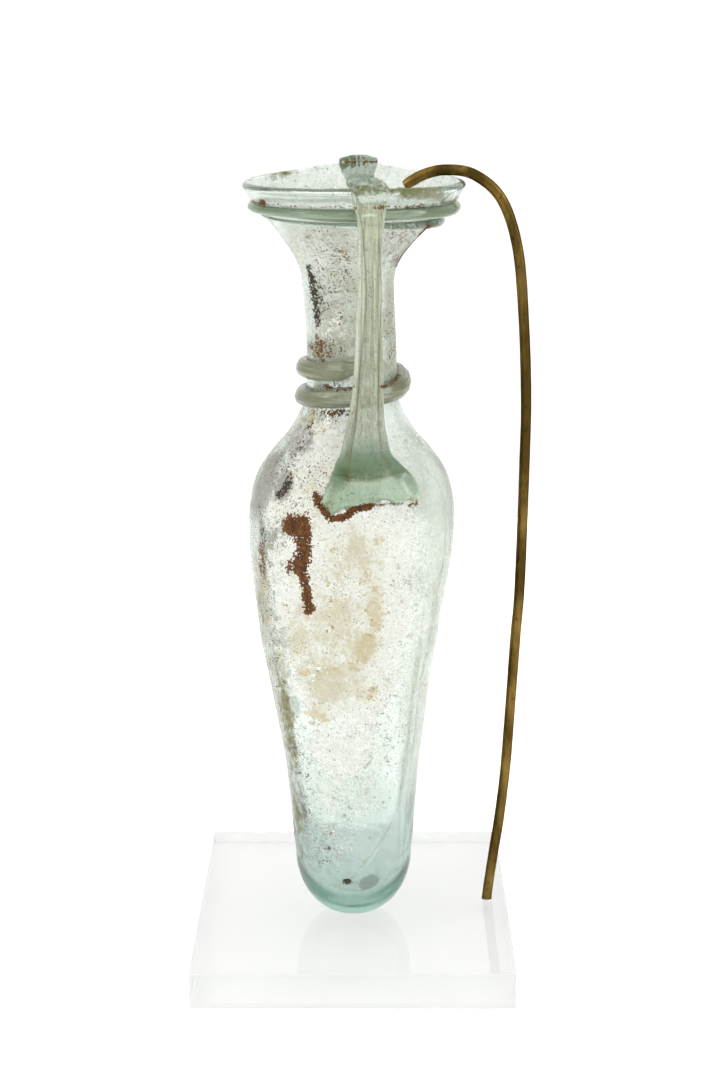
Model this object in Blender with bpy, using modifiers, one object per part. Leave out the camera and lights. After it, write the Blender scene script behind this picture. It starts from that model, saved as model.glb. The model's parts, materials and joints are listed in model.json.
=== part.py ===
"""An ancient glass perfume flask with one strap handle, on its modern display stand.

The flask is one fused piece of glass: a blown body with four pressed hollows, a trail under the
mouth, a thick trail round the neck, and a ribbed handle that ends above the mouth in a thumb rest.
A bent brass rod hooks over the lip and keeps it upright on a clear acrylic block.

Metres, +Z up. The origin is the centre of the block's underside and the handle faces -Y.
Azimuths run from the front (-Y) towards the right (+X).
"""

import math

import bmesh
import bpy
from mathutils import Matrix, Vector

# Pieces that touch in the real object keep this gap.
GAP = 0.0003

# Acrylic block
BLOCK_WIDTH = 0.100
BLOCK_DEPTH = 0.100
BLOCK_THICKNESS = 0.012
BLOCK_CHAMFER = 0.0006
SOCKET_DEPTH = 0.009

# Brass rod
ROD_RADIUS = 0.0016
ROD_INSET = 0.0062  # from the block's right edge to the rod's centre line
ROD_BOW = 0.0207  # how far the rod stands out past the lip, halfway up
ROD_REACH = 0.0171  # how far the hook runs in past the lip
ROD_DROP = 0.0045  # how far the hook's tip comes down again
HOOK_CLEARANCE = 0.0007  # between the lip and the hook, where the real rod touches

# Blown body: radii are over the ridges, heights are above the flask's lowest point
FLASK_OFFSET_Y = -0.007
FLASK_HEIGHT = 0.2338
FOOT_RADIUS = 0.0186
FOOT_HEIGHT = 0.022
FOOT_ROUNDNESS = 2.2
BELLY_RADIUS = 0.0324
BELLY_HEIGHT = 0.116
SHOULDER_RADIUS = 0.0252
SHOULDER_HEIGHT = 0.152
NECK_RADIUS = 0.0134
NECK_FOOT_HEIGHT = 0.171
NECK_TOP_HEIGHT = 0.2065
COLLAR_RADIUS = 0.0294
COLLAR_DROP = 0.0063  # from the lip down to the foot of the upright collar
MOUTH_RADIUS = 0.0326
LIP_RADIUS = 0.0013
WALL = 0.0018
FLOOR = 0.005

# Pressed hollows and the other ways in which the blown body is not quite round
HOLLOW_COUNT = 4
HOLLOW_DEPTH = 0.10  # share of the radius
HOLLOW_TURN = math.radians(-2)
MOUTH_LIFT = 0.0008
MOUTH_PEAK = 0.0020
NECK_SWAY = 0.0011
BODY_SWAY = 0.0009
MOUTH_SWAY = 0.0008

# Trails of glass wound on while hot
SINK = WALL / 2  # how deep what is welded on goes into the wall
MOUTH_TRAIL_RADIUS = 0.00165
NECK_TRAIL_WIDTH = 0.0058
NECK_TRAIL_THICKNESS = 0.0046
NECK_TRAIL_PITCH = 0.0084
NECK_TRAIL_TURNS = 1.45
NECK_TRAIL_SWELL = 0.11  # share by which it is thicker at the right and thinner at the left
NECK_TRAIL_TOP = 0.0255  # how far its start lies below the neck's upper end

# Handle
HANDLE_AZIMUTH = math.radians(9.2)
STRAP_WIDTH = 0.0076
STRAP_THICKNESS = 0.0042
STRAP_BOW = 0.0012  # how far the strap stands out past its upper end
RIB_COUNT = 4
RIB_DEPTH = 0.0006
FOOT_PAD_WIDTH = 0.0285
FOOT_PAD_SHIFT = 0.0007  # to the right of the strap
FOOT_PAD_THICKNESS = 0.0026
FOOT_PAD_HEIGHT = 0.0095  # of the pad pressed on the shoulder, below the shoulder's middle
FOOT_PAD_LOBE = 0.0024
THUMB_REST_WIDTH = 0.0108
THUMB_REST_HEIGHT = 0.0091
THUMB_REST_SHIFT = 0.0037  # to the left of the strap

# Facets
TURNED_STEPS = 40
MOUTH_TRAIL_POINTS = 44
NECK_TRAIL_POINTS = 36
NECK_TRAIL_SIDES = 10
ROD_POINTS = 34


def mix(a, b, share):
    return a + (b - a) * share


def ease(low, high, value):
    """0 up to low, 1 from high on, and smooth between."""
    share = min(max((value - low) / (high - low), 0.0), 1.0)
    return share * share * (3 - 2 * share)


def bell(centre, spread, value):
    return math.exp(-(((value - centre) / spread) ** 2))


def smooth_through(points, steps):
    """Points along a Catmull-Rom curve through the given ones, with this many steps between each pair."""
    points = [Vector(p) for p in points]
    padded = [2 * points[0] - points[1], *points, 2 * points[-1] - points[-2]]
    found = []
    for a, b, c, d in zip(padded, padded[1:], padded[2:], padded[3:]):
        for step in range(steps):
            t = step / steps
            found.append(
                0.5 * (2 * b + (c - a) * t + (2 * a - 5 * b + 4 * c - d) * t**2 + (3 * b - a - 3 * c + d) * t**3)
            )
    return [*found, points[-1]]


def rounded_foot(radius, height, steps):
    """(radius, height) pairs of a rounded bottom, from its centre to where it meets the body."""
    power = 2 / FOOT_ROUNDNESS
    found = []
    for step in range(steps + 1):
        angle = math.pi / 2 * step / steps
        found.append((radius * math.sin(angle) ** power, height * (1 - math.cos(angle) ** power)))
    return found


def stations_between(start, end, shares):
    """Stations from start to end, each at a share of the rise and a share of the change in radius."""
    return [(mix(start[0], end[0], wide), mix(start[1], end[1], high)) for high, wide in shares]


def wall_stations():
    """(radius, height) stations of the outer wall, from the top of the foot to the lip."""
    foot = (FOOT_RADIUS, FOOT_HEIGHT)
    belly = (BELLY_RADIUS, BELLY_HEIGHT)
    shoulder = (SHOULDER_RADIUS, SHOULDER_HEIGHT)
    neck_foot = (NECK_RADIUS, NECK_FOOT_HEIGHT)
    neck_top = (NECK_RADIUS, NECK_TOP_HEIGHT)
    collar = (COLLAR_RADIUS, FLASK_HEIGHT - COLLAR_DROP)
    lip = (MOUTH_RADIUS, FLASK_HEIGHT - LIP_RADIUS)
    return [
        foot,
        *stations_between(foot, belly, [(0.15, 0.12), (0.30, 0.31), (0.47, 0.50), (0.64, 0.68), (0.81, 0.89)]),
        belly,
        *stations_between(belly, shoulder, [(0.42, 0.08), (0.79, 0.40)]),
        shoulder,
        *stations_between(shoulder, neck_foot, [(0.36, 0.48), (0.68, 0.80)]),
        (neck_foot[0] * 1.03, neck_foot[1]),
        *stations_between(neck_foot, neck_top, [(0.35, 0.0)]),
        (neck_top[0] * 1.04, neck_top[1]),
        *stations_between(neck_top, collar, [(0.26, 0.15), (0.50, 0.39), (0.74, 0.67)]),
        collar,
        lip,
    ]


WALL_LINE = [tuple(p) for p in smooth_through(wall_stations(), 2)]


def wall_radius(height):
    """The outer wall's radius at a height, before the hollows are pressed in."""
    for (low_r, low_h), (high_r, high_h) in zip(WALL_LINE, WALL_LINE[1:]):
        if height <= high_h:
            return mix(low_r, high_r, (height - low_h) / (high_h - low_h))
    return WALL_LINE[-1][0]


def wall_normal(height):
    """(outward, upward) parts of the wall's normal."""
    step = 0.001
    slope = (wall_radius(height + step) - wall_radius(height - step)) / (2 * step)
    return Vector((1, -slope)).normalized()


def around(azimuth, radius, height):
    """A point of the flask's own frame from its azimuth, radius and height."""
    return Vector((radius * math.sin(azimuth), -radius * math.cos(azimuth), height))


def on_wall(azimuth, height, stand_off):
    """A point this far outside the wall, measured square to it."""
    outward, upward = wall_normal(height)
    return around(azimuth, wall_radius(height) + stand_off * outward, height + stand_off * upward)


def pressed_by_hand(point):
    """Where a point of the round flask goes when the hollows, the raised lip and the slight lean are in."""
    x, y, height = point
    azimuth = math.atan2(x, -y)
    rise = ease(FOOT_HEIGHT * 1.2, BELLY_HEIGHT * 0.5, height)
    fall = 1 - ease(BELLY_HEIGHT * 0.86, mix(BELLY_HEIGHT, SHOULDER_HEIGHT, 0.66), height)
    hollow = math.cos(HOLLOW_COUNT / 2 * (azimuth - HOLLOW_TURN)) ** 2
    narrowed = 1 - HOLLOW_DEPTH * rise * fall * hollow
    collar_share = ease(NECK_TOP_HEIGHT + COLLAR_DROP, FLASK_HEIGHT - COLLAR_DROP / 2, height)
    back = max(0.0, -math.cos(azimuth))
    lift = MOUTH_LIFT * math.cos(azimuth) ** 2 + MOUTH_PEAK * back**10
    sway = (
        MOUTH_SWAY * collar_share
        - NECK_SWAY * bell(NECK_TOP_HEIGHT, 0.013, height)
        - BODY_SWAY * bell(BELLY_HEIGHT * 0.8, 0.030, height)
    )
    return Vector((x * narrowed + sway, y * narrowed, height + lift * collar_share))


def collection(name):
    made = bpy.data.collections.new(name)
    bpy.context.scene.collection.children.link(made)
    return made


def material(name, colour, roughness, metallic=0.0, transmission=0.0, ior=1.5):
    made = bpy.data.materials.new(name)
    made.use_nodes = True
    shader = made.node_tree.nodes["Principled BSDF"]
    shader.inputs["Base Color"].default_value = (*colour, 1)
    shader.inputs["Roughness"].default_value = roughness
    shader.inputs["Metallic"].default_value = metallic
    shader.inputs["Transmission Weight"].default_value = transmission
    shader.inputs["IOR"].default_value = ior
    return made


def new_object(name, data, into):
    made = bpy.data.objects.new(name, data)
    into.objects.link(made)
    return made


def evaluated_mesh(obj):
    """The object's mesh with its modifiers, its caps welded and its faces pointing out."""
    graph = bpy.context.evaluated_depsgraph_get()
    mesh = bpy.data.meshes.new_from_object(obj.evaluated_get(graph), depsgraph=graph)
    shape = bmesh.new()
    shape.from_mesh(mesh)
    bmesh.ops.remove_doubles(shape, verts=shape.verts, dist=0.000001)
    bmesh.ops.recalc_face_normals(shape, faces=shape.faces)
    shape.to_mesh(mesh)
    shape.free()
    return mesh


def as_mesh_object(curve_object, into):
    """A mesh object in place of a curve object, which a Boolean can use."""
    name = curve_object.name
    mesh = evaluated_mesh(curve_object)
    placed = curve_object.matrix_world.copy()
    bpy.data.objects.remove(curve_object)
    made = new_object(name, mesh, into)
    made.matrix_world = placed
    return made


def smooth_faces(mesh, angle):
    mesh.shade_smooth()
    mesh.set_sharp_from_angle(angle=angle)


def poly_curve(name, points, radii, twist_mode, into):
    """A curve object through the points, whose bevel is scaled by a radius at each point."""
    curve = bpy.data.curves.new(name, "CURVE")
    curve.dimensions = "3D"
    curve.twist_mode = twist_mode
    curve.use_fill_caps = True
    spline = curve.splines.new("POLY")
    spline.points.add(len(points) - 1)
    for slot, point, radius in zip(spline.points, points, radii):
        slot.co = (*point, 1)
        slot.radius = radius
    return new_object(name, curve, into)


def loft(name, rings, into):
    """A closed solid through rings of equally many points, capped at both ends."""
    shape = bmesh.new()
    rows = [[shape.verts.new(point) for point in ring] for ring in rings]
    count = len(rings[0])
    for row, following in zip(rows, rows[1:]):
        for i in range(count):
            j = (i + 1) % count
            shape.faces.new((row[i], row[j], following[j], following[i]))
    shape.faces.new(rows[0])
    shape.faces.new(rows[-1])
    bmesh.ops.recalc_face_normals(shape, faces=shape.faces)
    mesh = bpy.data.meshes.new(name)
    shape.to_mesh(mesh)
    shape.free()
    return new_object(name, mesh, into)


def blown_profile():
    """(radius, height) pairs from the middle of the floor, up the inside, over the lip and down the outside."""
    inner_foot = [(r, FLOOR + h) for r, h in rounded_foot(FOOT_RADIUS - WALL, FOOT_HEIGHT - FLOOR, 5)]
    inner_wall = []
    for radius, height in WALL_LINE[2:-2:2]:
        outward, upward = wall_normal(height)
        inner_wall.append((radius - WALL * outward, height - WALL * upward))
    lip_centre = (MOUTH_RADIUS - LIP_RADIUS, FLASK_HEIGHT - LIP_RADIUS)
    lip = []
    for step in range(5):
        angle = math.pi * (1 - step / 4)
        lip.append((lip_centre[0] + LIP_RADIUS * math.cos(angle), lip_centre[1] + LIP_RADIUS * math.sin(angle)))
    outer_wall = WALL_LINE[-2:0:-1]
    outer_foot = rounded_foot(FOOT_RADIUS, FOOT_HEIGHT, 6)[::-1]
    return [*inner_foot, *inner_wall, *lip, *outer_wall, *outer_foot]


def blown_body(into):
    """The round body, neck and funnel mouth, as the glassblower leaves them before any pressing."""
    profile = blown_profile()
    mesh = bpy.data.meshes.new("blown_body")
    points = [(radius, 0, height) for radius, height in profile]
    mesh.from_pydata(points, [(i, i + 1) for i in range(len(points) - 1)], [])
    body = new_object("blown_body", mesh, into)
    turn = body.modifiers.new("Turn", "SCREW")
    turn.steps = turn.render_steps = TURNED_STEPS
    turn.use_merge_vertices = True
    turn.merge_threshold = 0.00001
    body.data = evaluated_mesh(body)
    body.modifiers.clear()
    return body


def mouth_trail(into):
    """A round trail laid under the mouth: a thin tail at the left, once round, and over itself."""
    stations = [
        # azimuth in degrees, height below the lip, share of the full radius
        (-84, 0.0094, 0.22),
        (-40, 0.0098, 0.38),
        (0, 0.0104, 0.62),
        (50, 0.0108, 0.86),
        (100, 0.0106, 0.95),
        (180, 0.0090, 0.95),
        (250, 0.0076, 1.00),
        (310, 0.0073, 1.00),
        (360, 0.0071, 1.00),
        (430, 0.0068, 1.05),
        (480, 0.0066, 0.95),
        (505, 0.0066, 0.45),
    ]
    line = smooth_through([(math.radians(a), drop, share) for a, drop, share in stations], 8)
    picked = [line[round(i * (len(line) - 1) / MOUTH_TRAIL_POINTS)] for i in range(MOUTH_TRAIL_POINTS + 1)]
    points, radii = [], []
    for azimuth, drop, share in picked:
        radius = MOUTH_TRAIL_RADIUS * share
        points.append(on_wall(azimuth, FLASK_HEIGHT - drop, radius - min(SINK, radius * 0.8)))
        radii.append(share)
    trail = poly_curve("mouth_trail", points, radii, "Z_UP", into)
    trail.data.bevel_depth = MOUTH_TRAIL_RADIUS
    trail.data.bevel_resolution = 2
    return as_mesh_object(trail, into)


def neck_trail(into):
    """The thick ribbed trail round the foot of the neck, laid on from the front and round to the left."""
    section = bpy.data.curves.new("neck_trail_section", "CURVE")
    section.dimensions = "2D"
    outline = section.splines.new("POLY")
    outline.points.add(NECK_TRAIL_SIDES - 1)
    for i, slot in enumerate(outline.points):
        angle = 2 * math.pi * i / len(outline.points)
        groove = 1 - 0.10 * math.cos(3 * angle) ** 2
        slot.co = (
            NECK_TRAIL_THICKNESS / 2 * groove * math.cos(angle),
            NECK_TRAIL_WIDTH / 2 * groove * math.sin(angle),
            0,
            1,
        )
    outline.use_cyclic_u = True
    section_object = new_object("neck_trail_section", section, into)
    section_object.hide_render = True

    points, radii = [], []
    for i in range(NECK_TRAIL_POINTS + 1):
        share = i / NECK_TRAIL_POINTS
        turns = NECK_TRAIL_TURNS * share
        azimuth = HANDLE_AZIMUTH - 2 * math.pi * turns
        height = NECK_TOP_HEIGHT - NECK_TRAIL_TOP - NECK_TRAIL_PITCH * turns
        full = 0.45 + 0.55 * ease(0, 0.05, share) * (1 - ease(0.93, 1, share))
        full *= 1 + NECK_TRAIL_SWELL * math.sin(azimuth)
        points.append(on_wall(azimuth, height, NECK_TRAIL_THICKNESS / 2 * full - SINK))
        radii.append(full)
    trail = poly_curve("neck_trail", points, radii, "Z_UP", into)
    trail.data.bevel_mode = "OBJECT"
    trail.data.bevel_object = section_object
    return as_mesh_object(trail, into)


def strap_section(width, thickness, rib_share):
    """(across, outward) pairs of the handle's section: ribs and grooves outside, nearly flat inside."""
    found = []
    last = 2 * RIB_COUNT
    for i in range(last + 1):
        across = 0.5 - i / last
        crown = thickness / 2 * math.sqrt(1 - abs(2 * across) ** 4)
        groove = RIB_DEPTH * rib_share if i % 2 == 0 and 0 < i < last else 0
        found.append((across * width, crown - groove))
        if i == 0 or i == last - 1:
            rounded = across - 0.03 if i == 0 else -0.47
            found.append((rounded * width, thickness * 0.3))
    for across, deep in [(-0.42, 0.40), (-0.16, 0.50), (0.16, 0.50), (0.42, 0.40)]:
        found.append((across * width, -thickness * deep))
    return found


def pad_ring(height, width, thickness):
    """A ring of the foot pad, which lies on the shoulder and wraps round it."""
    ring = []
    for across, outward in strap_section(width, thickness, 0.0):
        lobe = FOOT_PAD_LOBE * bell(-0.34, 0.16, across / FOOT_PAD_WIDTH) * (height < SHOULDER_HEIGHT - 0.003)
        here = height - lobe
        azimuth = HANDLE_AZIMUTH + (across + FOOT_PAD_SHIFT) / wall_radius(here)
        ring.append(on_wall(azimuth, here, outward + thickness / 2 - SINK))
    return ring


def strap_ring(standing, height, lean, width, thickness, rib_share, shift=0.0):
    """A ring of the free strap: standing is its centre's radius, and lean tips the ring outward."""
    centre = around(HANDLE_AZIMUTH, standing, height)
    sideways = around(HANDLE_AZIMUTH + math.pi / 2, 1, 0)
    outward_axis = around(HANDLE_AZIMUTH, math.cos(lean), math.sin(lean))
    return [
        centre + sideways * (across + shift) + outward_axis * outward
        for across, outward in strap_section(width, thickness, rib_share)
    ]


def handle(into):
    """The ribbed strap, from the pad on the shoulder up to the thumb rest above the lip."""
    rings = []
    pad_low = SHOULDER_HEIGHT - FOOT_PAD_HEIGHT
    for rise, wide, thick in [(0.0, 0.93, 0.45), (0.0012, 0.99, 0.85), (0.0040, 1.0, 1.0), (0.0075, 0.88, 1.12)]:
        rings.append(pad_ring(pad_low + rise, FOOT_PAD_WIDTH * wide, FOOT_PAD_THICKNESS * thick))

    shoulder_top = SHOULDER_HEIGHT + 0.0025
    top_standing = COLLAR_RADIUS + MOUTH_TRAIL_RADIUS + STRAP_THICKNESS / 2 - SINK / 3
    low_standing = wall_radius(shoulder_top) + STRAP_THICKNESS * 0.62
    collar_height = FLASK_HEIGHT - COLLAR_DROP
    strap = [
        # share of the rise, share of the way out, lean in degrees, width and thickness as shares, ribs
        (0.00, 0.00, 40, 2.58, 0.88, 0.15),
        (0.05, 0.16, 32, 2.15, 0.95, 0.60),
        (0.12, 0.36, 24, 1.76, 1.00, 1.00),
        (0.21, 0.58, 17, 1.48, 1.00, 1.00),
        (0.31, 0.76, 11, 1.30, 1.00, 1.00),
        (0.45, 0.92, 6, 1.16, 1.00, 1.00),
        (0.62, 1.00, 2, 1.07, 1.00, 1.00),
        (0.80, 1.02, -2, 1.00, 1.00, 1.00),
        (0.93, 1.00, -8, 0.95, 1.00, 1.00),
    ]
    for rise, out, lean, wide, thick, ribs in strap:
        bow = STRAP_BOW * math.sin(math.pi * min(rise / 0.93, 1))
        rings.append(
            strap_ring(
                mix(low_standing, top_standing, out) + bow,
                mix(shoulder_top, collar_height, rise),
                -math.radians(lean),
                STRAP_WIDTH * wide,
                STRAP_THICKNESS * thick,
                ribs,
            )
        )

    on_lip = MOUTH_RADIUS - LIP_RADIUS * 0.3
    thumb_rest = [
        # height above the collar's foot as a share of the collar and thumb rest, standing, width, thickness, shift
        (0.02, top_standing, 0.64, 1.00, 0.0),
        (0.20, mix(top_standing, on_lip, 0.35), 0.80, 0.95, 0.1),
        (0.38, mix(top_standing, on_lip, 0.75), 0.88, 1.00, 0.25),
        (0.50, on_lip, 0.94, 1.15, 0.5),
        (0.58, on_lip, 0.74, 1.05, 0.85),
        (0.70, on_lip, 0.80, 1.05, 1.0),
        (0.80, on_lip, 0.93, 1.25, 1.0),
        (0.88, on_lip, 1.00, 1.45, 1.0),
        (0.95, on_lip, 0.98, 1.40, 1.0),
        (1.00, on_lip, 0.80, 0.95, 1.0),
    ]
    rise = COLLAR_DROP + THUMB_REST_HEIGHT
    for share, standing, wide, thick, shift in thumb_rest:
        rings.append(
            strap_ring(
                standing,
                collar_height + rise * share,
                0.0,
                THUMB_REST_WIDTH * wide,
                STRAP_THICKNESS * thick,
                0.5 if share < 0.5 else 0.0,
                -THUMB_REST_SHIFT * shift,
            )
        )
    return loft("handle", rings, into)


def flask(parts, helpers):
    body = blown_body(helpers)
    for piece in (mouth_trail(helpers), neck_trail(helpers), handle(helpers)):
        weld = body.modifiers.new(piece.name, "BOOLEAN")
        weld.operation = "UNION"
        weld.solver = "EXACT"
        weld.object = piece
        piece.hide_render = True
    mesh = evaluated_mesh(body)
    for vertex in mesh.vertices:
        vertex.co = pressed_by_hand(vertex.co)
    body.hide_render = True
    made = new_object("flask", mesh, parts)
    made.location = (0, FLASK_OFFSET_Y, BLOCK_THICKNESS + GAP)
    smooth_faces(mesh, math.radians(50))
    mesh.materials.clear()
    mesh.materials.append(material("pale_green_glass", (0.72, 0.86, 0.79), 0.12, transmission=0.9))
    return made


def rod_x():
    return BLOCK_WIDTH / 2 - ROD_INSET


def rod_route():
    """Points along the rod's centre line, from the bottom of its socket to the tip of the hook."""
    lip_x = math.sqrt(MOUTH_RADIUS**2 - FLASK_OFFSET_Y**2) + MOUTH_SWAY
    block_top = BLOCK_THICKNESS
    lip_top = block_top + GAP + FLASK_HEIGHT
    crown = lip_top + ROD_RADIUS + HOOK_CLEARANCE
    bow_x = lip_x + ROD_BOW
    foot_x = rod_x()
    route = [(foot_x, block_top - SOCKET_DEPTH + GAP), (foot_x, block_top)]
    for rise, out in [(0.12, 0.25), (0.29, 0.60), (0.46, 0.85), (0.63, 0.99), (0.71, 1.0), (0.81, 0.84)]:
        route.append((mix(foot_x, bow_x, out), mix(block_top, crown, rise)))
    route += [
        (lip_x + ROD_BOW * 0.81, crown - ROD_BOW * 1.12),
        (lip_x + ROD_BOW * 0.57, crown - ROD_BOW * 0.42),
        (lip_x + ROD_BOW * 0.18, crown - ROD_BOW * 0.07),
        (lip_x - ROD_REACH * 0.26, crown),
        (lip_x - ROD_REACH * 0.64, crown - ROD_DROP * 0.27),
        (lip_x - ROD_REACH, crown - ROD_DROP),
    ]
    return [(x, 0, height) for x, height in route]


def rod(parts):
    line = smooth_through(rod_route(), 4)
    picked = [line[round(i * (len(line) - 1) / ROD_POINTS)] for i in range(ROD_POINTS + 1)]
    made = poly_curve("support_rod", picked, [1.0] * len(picked), "MINIMUM", parts)
    made.data.bevel_depth = ROD_RADIUS
    made.data.bevel_resolution = 3
    made = as_mesh_object(made, parts)
    smooth_faces(made.data, math.radians(50))
    made.data.materials.append(material("brass", (0.42, 0.29, 0.10), 0.35, metallic=1.0))
    return made


def block(parts, helpers):
    bpy.ops.mesh.primitive_cube_add(size=1)
    made = bpy.context.object
    made.name = made.data.name = "base_block"
    made.data.transform(Matrix.Diagonal((BLOCK_WIDTH, BLOCK_DEPTH, BLOCK_THICKNESS, 1)))
    made.location = (0, 0, BLOCK_THICKNESS / 2)
    move_to(made, parts)
    edge = made.modifiers.new("Polished edges", "BEVEL")
    edge.width = BLOCK_CHAMFER
    edge.segments = 1

    over = 0.002
    bpy.ops.mesh.primitive_cylinder_add(vertices=20, radius=ROD_RADIUS + GAP, depth=SOCKET_DEPTH + over)
    socket = bpy.context.object
    socket.name = "socket_cutter"
    socket.location = (rod_x(), 0, BLOCK_THICKNESS - (SOCKET_DEPTH - over) / 2)
    socket.hide_render = True
    socket.display_type = "WIRE"
    move_to(socket, helpers)
    drill = made.modifiers.new("Socket", "BOOLEAN")
    drill.operation = "DIFFERENCE"
    drill.solver = "EXACT"
    drill.object = socket
    made.data.materials.append(material("clear_acrylic", (0.96, 0.97, 0.97), 0.03, transmission=1.0, ior=1.49))
    return made


def move_to(obj, into):
    for holder in list(obj.users_collection):
        holder.objects.unlink(obj)
    into.objects.link(obj)


def main():
    for obj in list(bpy.data.objects):
        bpy.data.objects.remove(obj)
    parts = collection("glass_perfume_flask")
    helpers = collection("cutters_and_guides")
    block(parts, helpers)
    rod(parts)
    flask(parts, helpers)
    for helper in helpers.objects:
        helper.hide_render = True
        helper.display_type = "WIRE"


main()
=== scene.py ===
# %% [markdown]
# A blown glass perfume flask on its display stand
#
# The object has three pieces. The flask is one fused piece of glass: a hollow body, a trail under the mouth,
# a thick trail round the neck, and a ribbed handle with a thumb rest. A bent brass rod hooks over the lip and
# stands in a hole in a clear acrylic block. The packed model gives each piece its place and size. This lesson
# gives each one its real surface: glass that is see-through, soil and weathering, aged brass, sanded edges.
# %% Load the frame
import json
import math

import bmesh
import bpy
import numpy as np
from mathutils import Euler, Matrix, Vector, noise

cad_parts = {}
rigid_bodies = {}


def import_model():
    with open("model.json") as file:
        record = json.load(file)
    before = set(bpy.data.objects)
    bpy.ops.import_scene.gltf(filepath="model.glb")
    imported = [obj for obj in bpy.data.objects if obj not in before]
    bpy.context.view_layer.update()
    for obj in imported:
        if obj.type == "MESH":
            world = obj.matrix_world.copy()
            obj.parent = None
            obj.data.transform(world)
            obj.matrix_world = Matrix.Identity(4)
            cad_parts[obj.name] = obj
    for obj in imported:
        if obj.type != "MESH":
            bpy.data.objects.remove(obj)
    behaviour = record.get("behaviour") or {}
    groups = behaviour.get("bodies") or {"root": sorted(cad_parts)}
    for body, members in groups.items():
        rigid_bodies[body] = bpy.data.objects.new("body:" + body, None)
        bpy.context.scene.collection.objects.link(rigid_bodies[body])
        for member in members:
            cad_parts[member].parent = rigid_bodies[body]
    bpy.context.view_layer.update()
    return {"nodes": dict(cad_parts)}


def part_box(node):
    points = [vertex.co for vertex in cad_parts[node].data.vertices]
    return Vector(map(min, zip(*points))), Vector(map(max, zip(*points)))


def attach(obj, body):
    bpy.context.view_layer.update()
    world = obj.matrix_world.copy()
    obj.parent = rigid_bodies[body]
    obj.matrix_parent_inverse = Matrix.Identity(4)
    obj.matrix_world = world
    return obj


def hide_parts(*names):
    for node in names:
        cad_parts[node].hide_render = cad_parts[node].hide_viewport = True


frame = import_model()


def placed(name, data):
    """A new object that puts this data into the scene."""
    made = bpy.data.objects.new(name, data)
    bpy.context.scene.collection.objects.link(made)
    return made


def mesh_of(name, points, faces):
    mesh = bpy.data.meshes.new(name)
    mesh.from_pydata(points, [], faces)
    return mesh


print("nodes:", sorted(frame["nodes"]))

# %% [markdown]
# The camera stands where the photograph was taken from. The block is square and its corners are sharp, so their
# places in the picture give the camera's place, its slight downward tilt and the lens. Everything else follows.
# %% Camera
CAMERA_PLACE = Vector((0.00539, -0.55396, 0.30018))
CAMERA_PITCH = math.radians(-16.56)
CAMERA_YAW = math.radians(0.32)
CAMERA_ROLL = math.radians(-0.14)
LENS_MM = 62.1
FILM_MM = 36
PHOTO_WIDTH = 720
PHOTO_HEIGHT = 1077

camera = placed("camera", bpy.data.cameras.new("camera"))
camera.data.lens = LENS_MM
camera.data.sensor_width = FILM_MM
camera.data.clip_start = 0.01
level = Euler((math.pi / 2 + CAMERA_PITCH, 0, CAMERA_YAW)).to_matrix()
camera_turn = level @ Matrix.Rotation(CAMERA_ROLL, 3, "Z")
camera.matrix_world = Matrix.Translation(CAMERA_PLACE) @ camera_turn.to_4x4()
bpy.context.scene.camera = camera


def in_photo(points):
    """Where points in metres show in the photograph, in its pixels, as an array of (x, y)."""
    seen = (np.asarray(points) - np.array(CAMERA_PLACE)) @ np.array(camera_turn)
    scale = LENS_MM / FILM_MM * PHOTO_HEIGHT / -seen[:, 2]
    return np.stack([PHOTO_WIDTH / 2 + scale * seen[:, 0], PHOTO_HEIGHT / 2 - scale * seen[:, 1]], axis=1)


print("the block's front edge shows at", in_photo([(-0.05, -0.05, 0.012), (0.05, -0.05, 0.012)]).round(1).tolist())

# %% [markdown]
# Glass shows what is round it, so the light comes first. A pale sweep runs under and behind the object. The sky is
# white overhead and dimmer towards the horizon, which darkens the edges of clear glass and draws its outline. Two
# narrow soft lamps, one at each side, give long quiet highlights.
# %% Studio
SWEEP_HALF_WIDTH = 1.6
SWEEP_FRONT = -1.2
SWEEP_BACK = 0.85
SWEEP_BEND = 0.35
SWEEP_TOP = 1.6
BEND_STEPS = 16
FLOOR_DROP = -0.0003  # a breath of air under the block, where the lit panel lies


def sweep_line():
    """(y, z) points along the floor, round the bend and up the back."""
    line = [(SWEEP_FRONT, FLOOR_DROP)]
    for step in range(BEND_STEPS + 1):
        angle = math.pi / 2 * step / BEND_STEPS
        rise = SWEEP_BEND * (1 - math.cos(angle)) + FLOOR_DROP
        line.append((SWEEP_BACK - SWEEP_BEND + SWEEP_BEND * math.sin(angle), rise))
    return [*line, (SWEEP_BACK, SWEEP_TOP)]


def sweep():
    line = sweep_line()
    points = [(side * SWEEP_HALF_WIDTH, y, z) for y, z in line for side in (-1, 1)]
    faces = [(2 * i, 2 * i + 1, 2 * i + 3, 2 * i + 2) for i in range(len(line) - 1)]
    made = placed("studio_floor", mesh_of("studio_floor", points, faces))
    made.data.shade_smooth()
    return made


floor = sweep()
print("the sweep has", len(floor.data.polygons), "faces")

# %% Lamps
SKY_COLOUR = (1.0, 1.0, 0.975)
SKY_OVERHEAD = 1.45
SKY_AT_HORIZON = 0.85
LAMPS = {
    "left_softbox": ((-0.8, -0.45, 0.6), (0.22, 0.6), 2.0),
    "right_softbox": ((0.9, -0.2, 0.5), (0.15, 0.6), 1.4),
}
LAMP_TARGET = Vector((0, 0, 0.13))


def soft_lamp(name, place, size, watts):
    data = bpy.data.lights.new(name, "AREA")
    data.shape = "RECTANGLE"
    data.size, data.size_y = size
    data.energy = watts
    lamp = placed(name, data)
    lamp.location = place
    lamp.rotation_euler = (LAMP_TARGET - Vector(place)).to_track_quat("-Z", "Y").to_euler()


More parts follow.
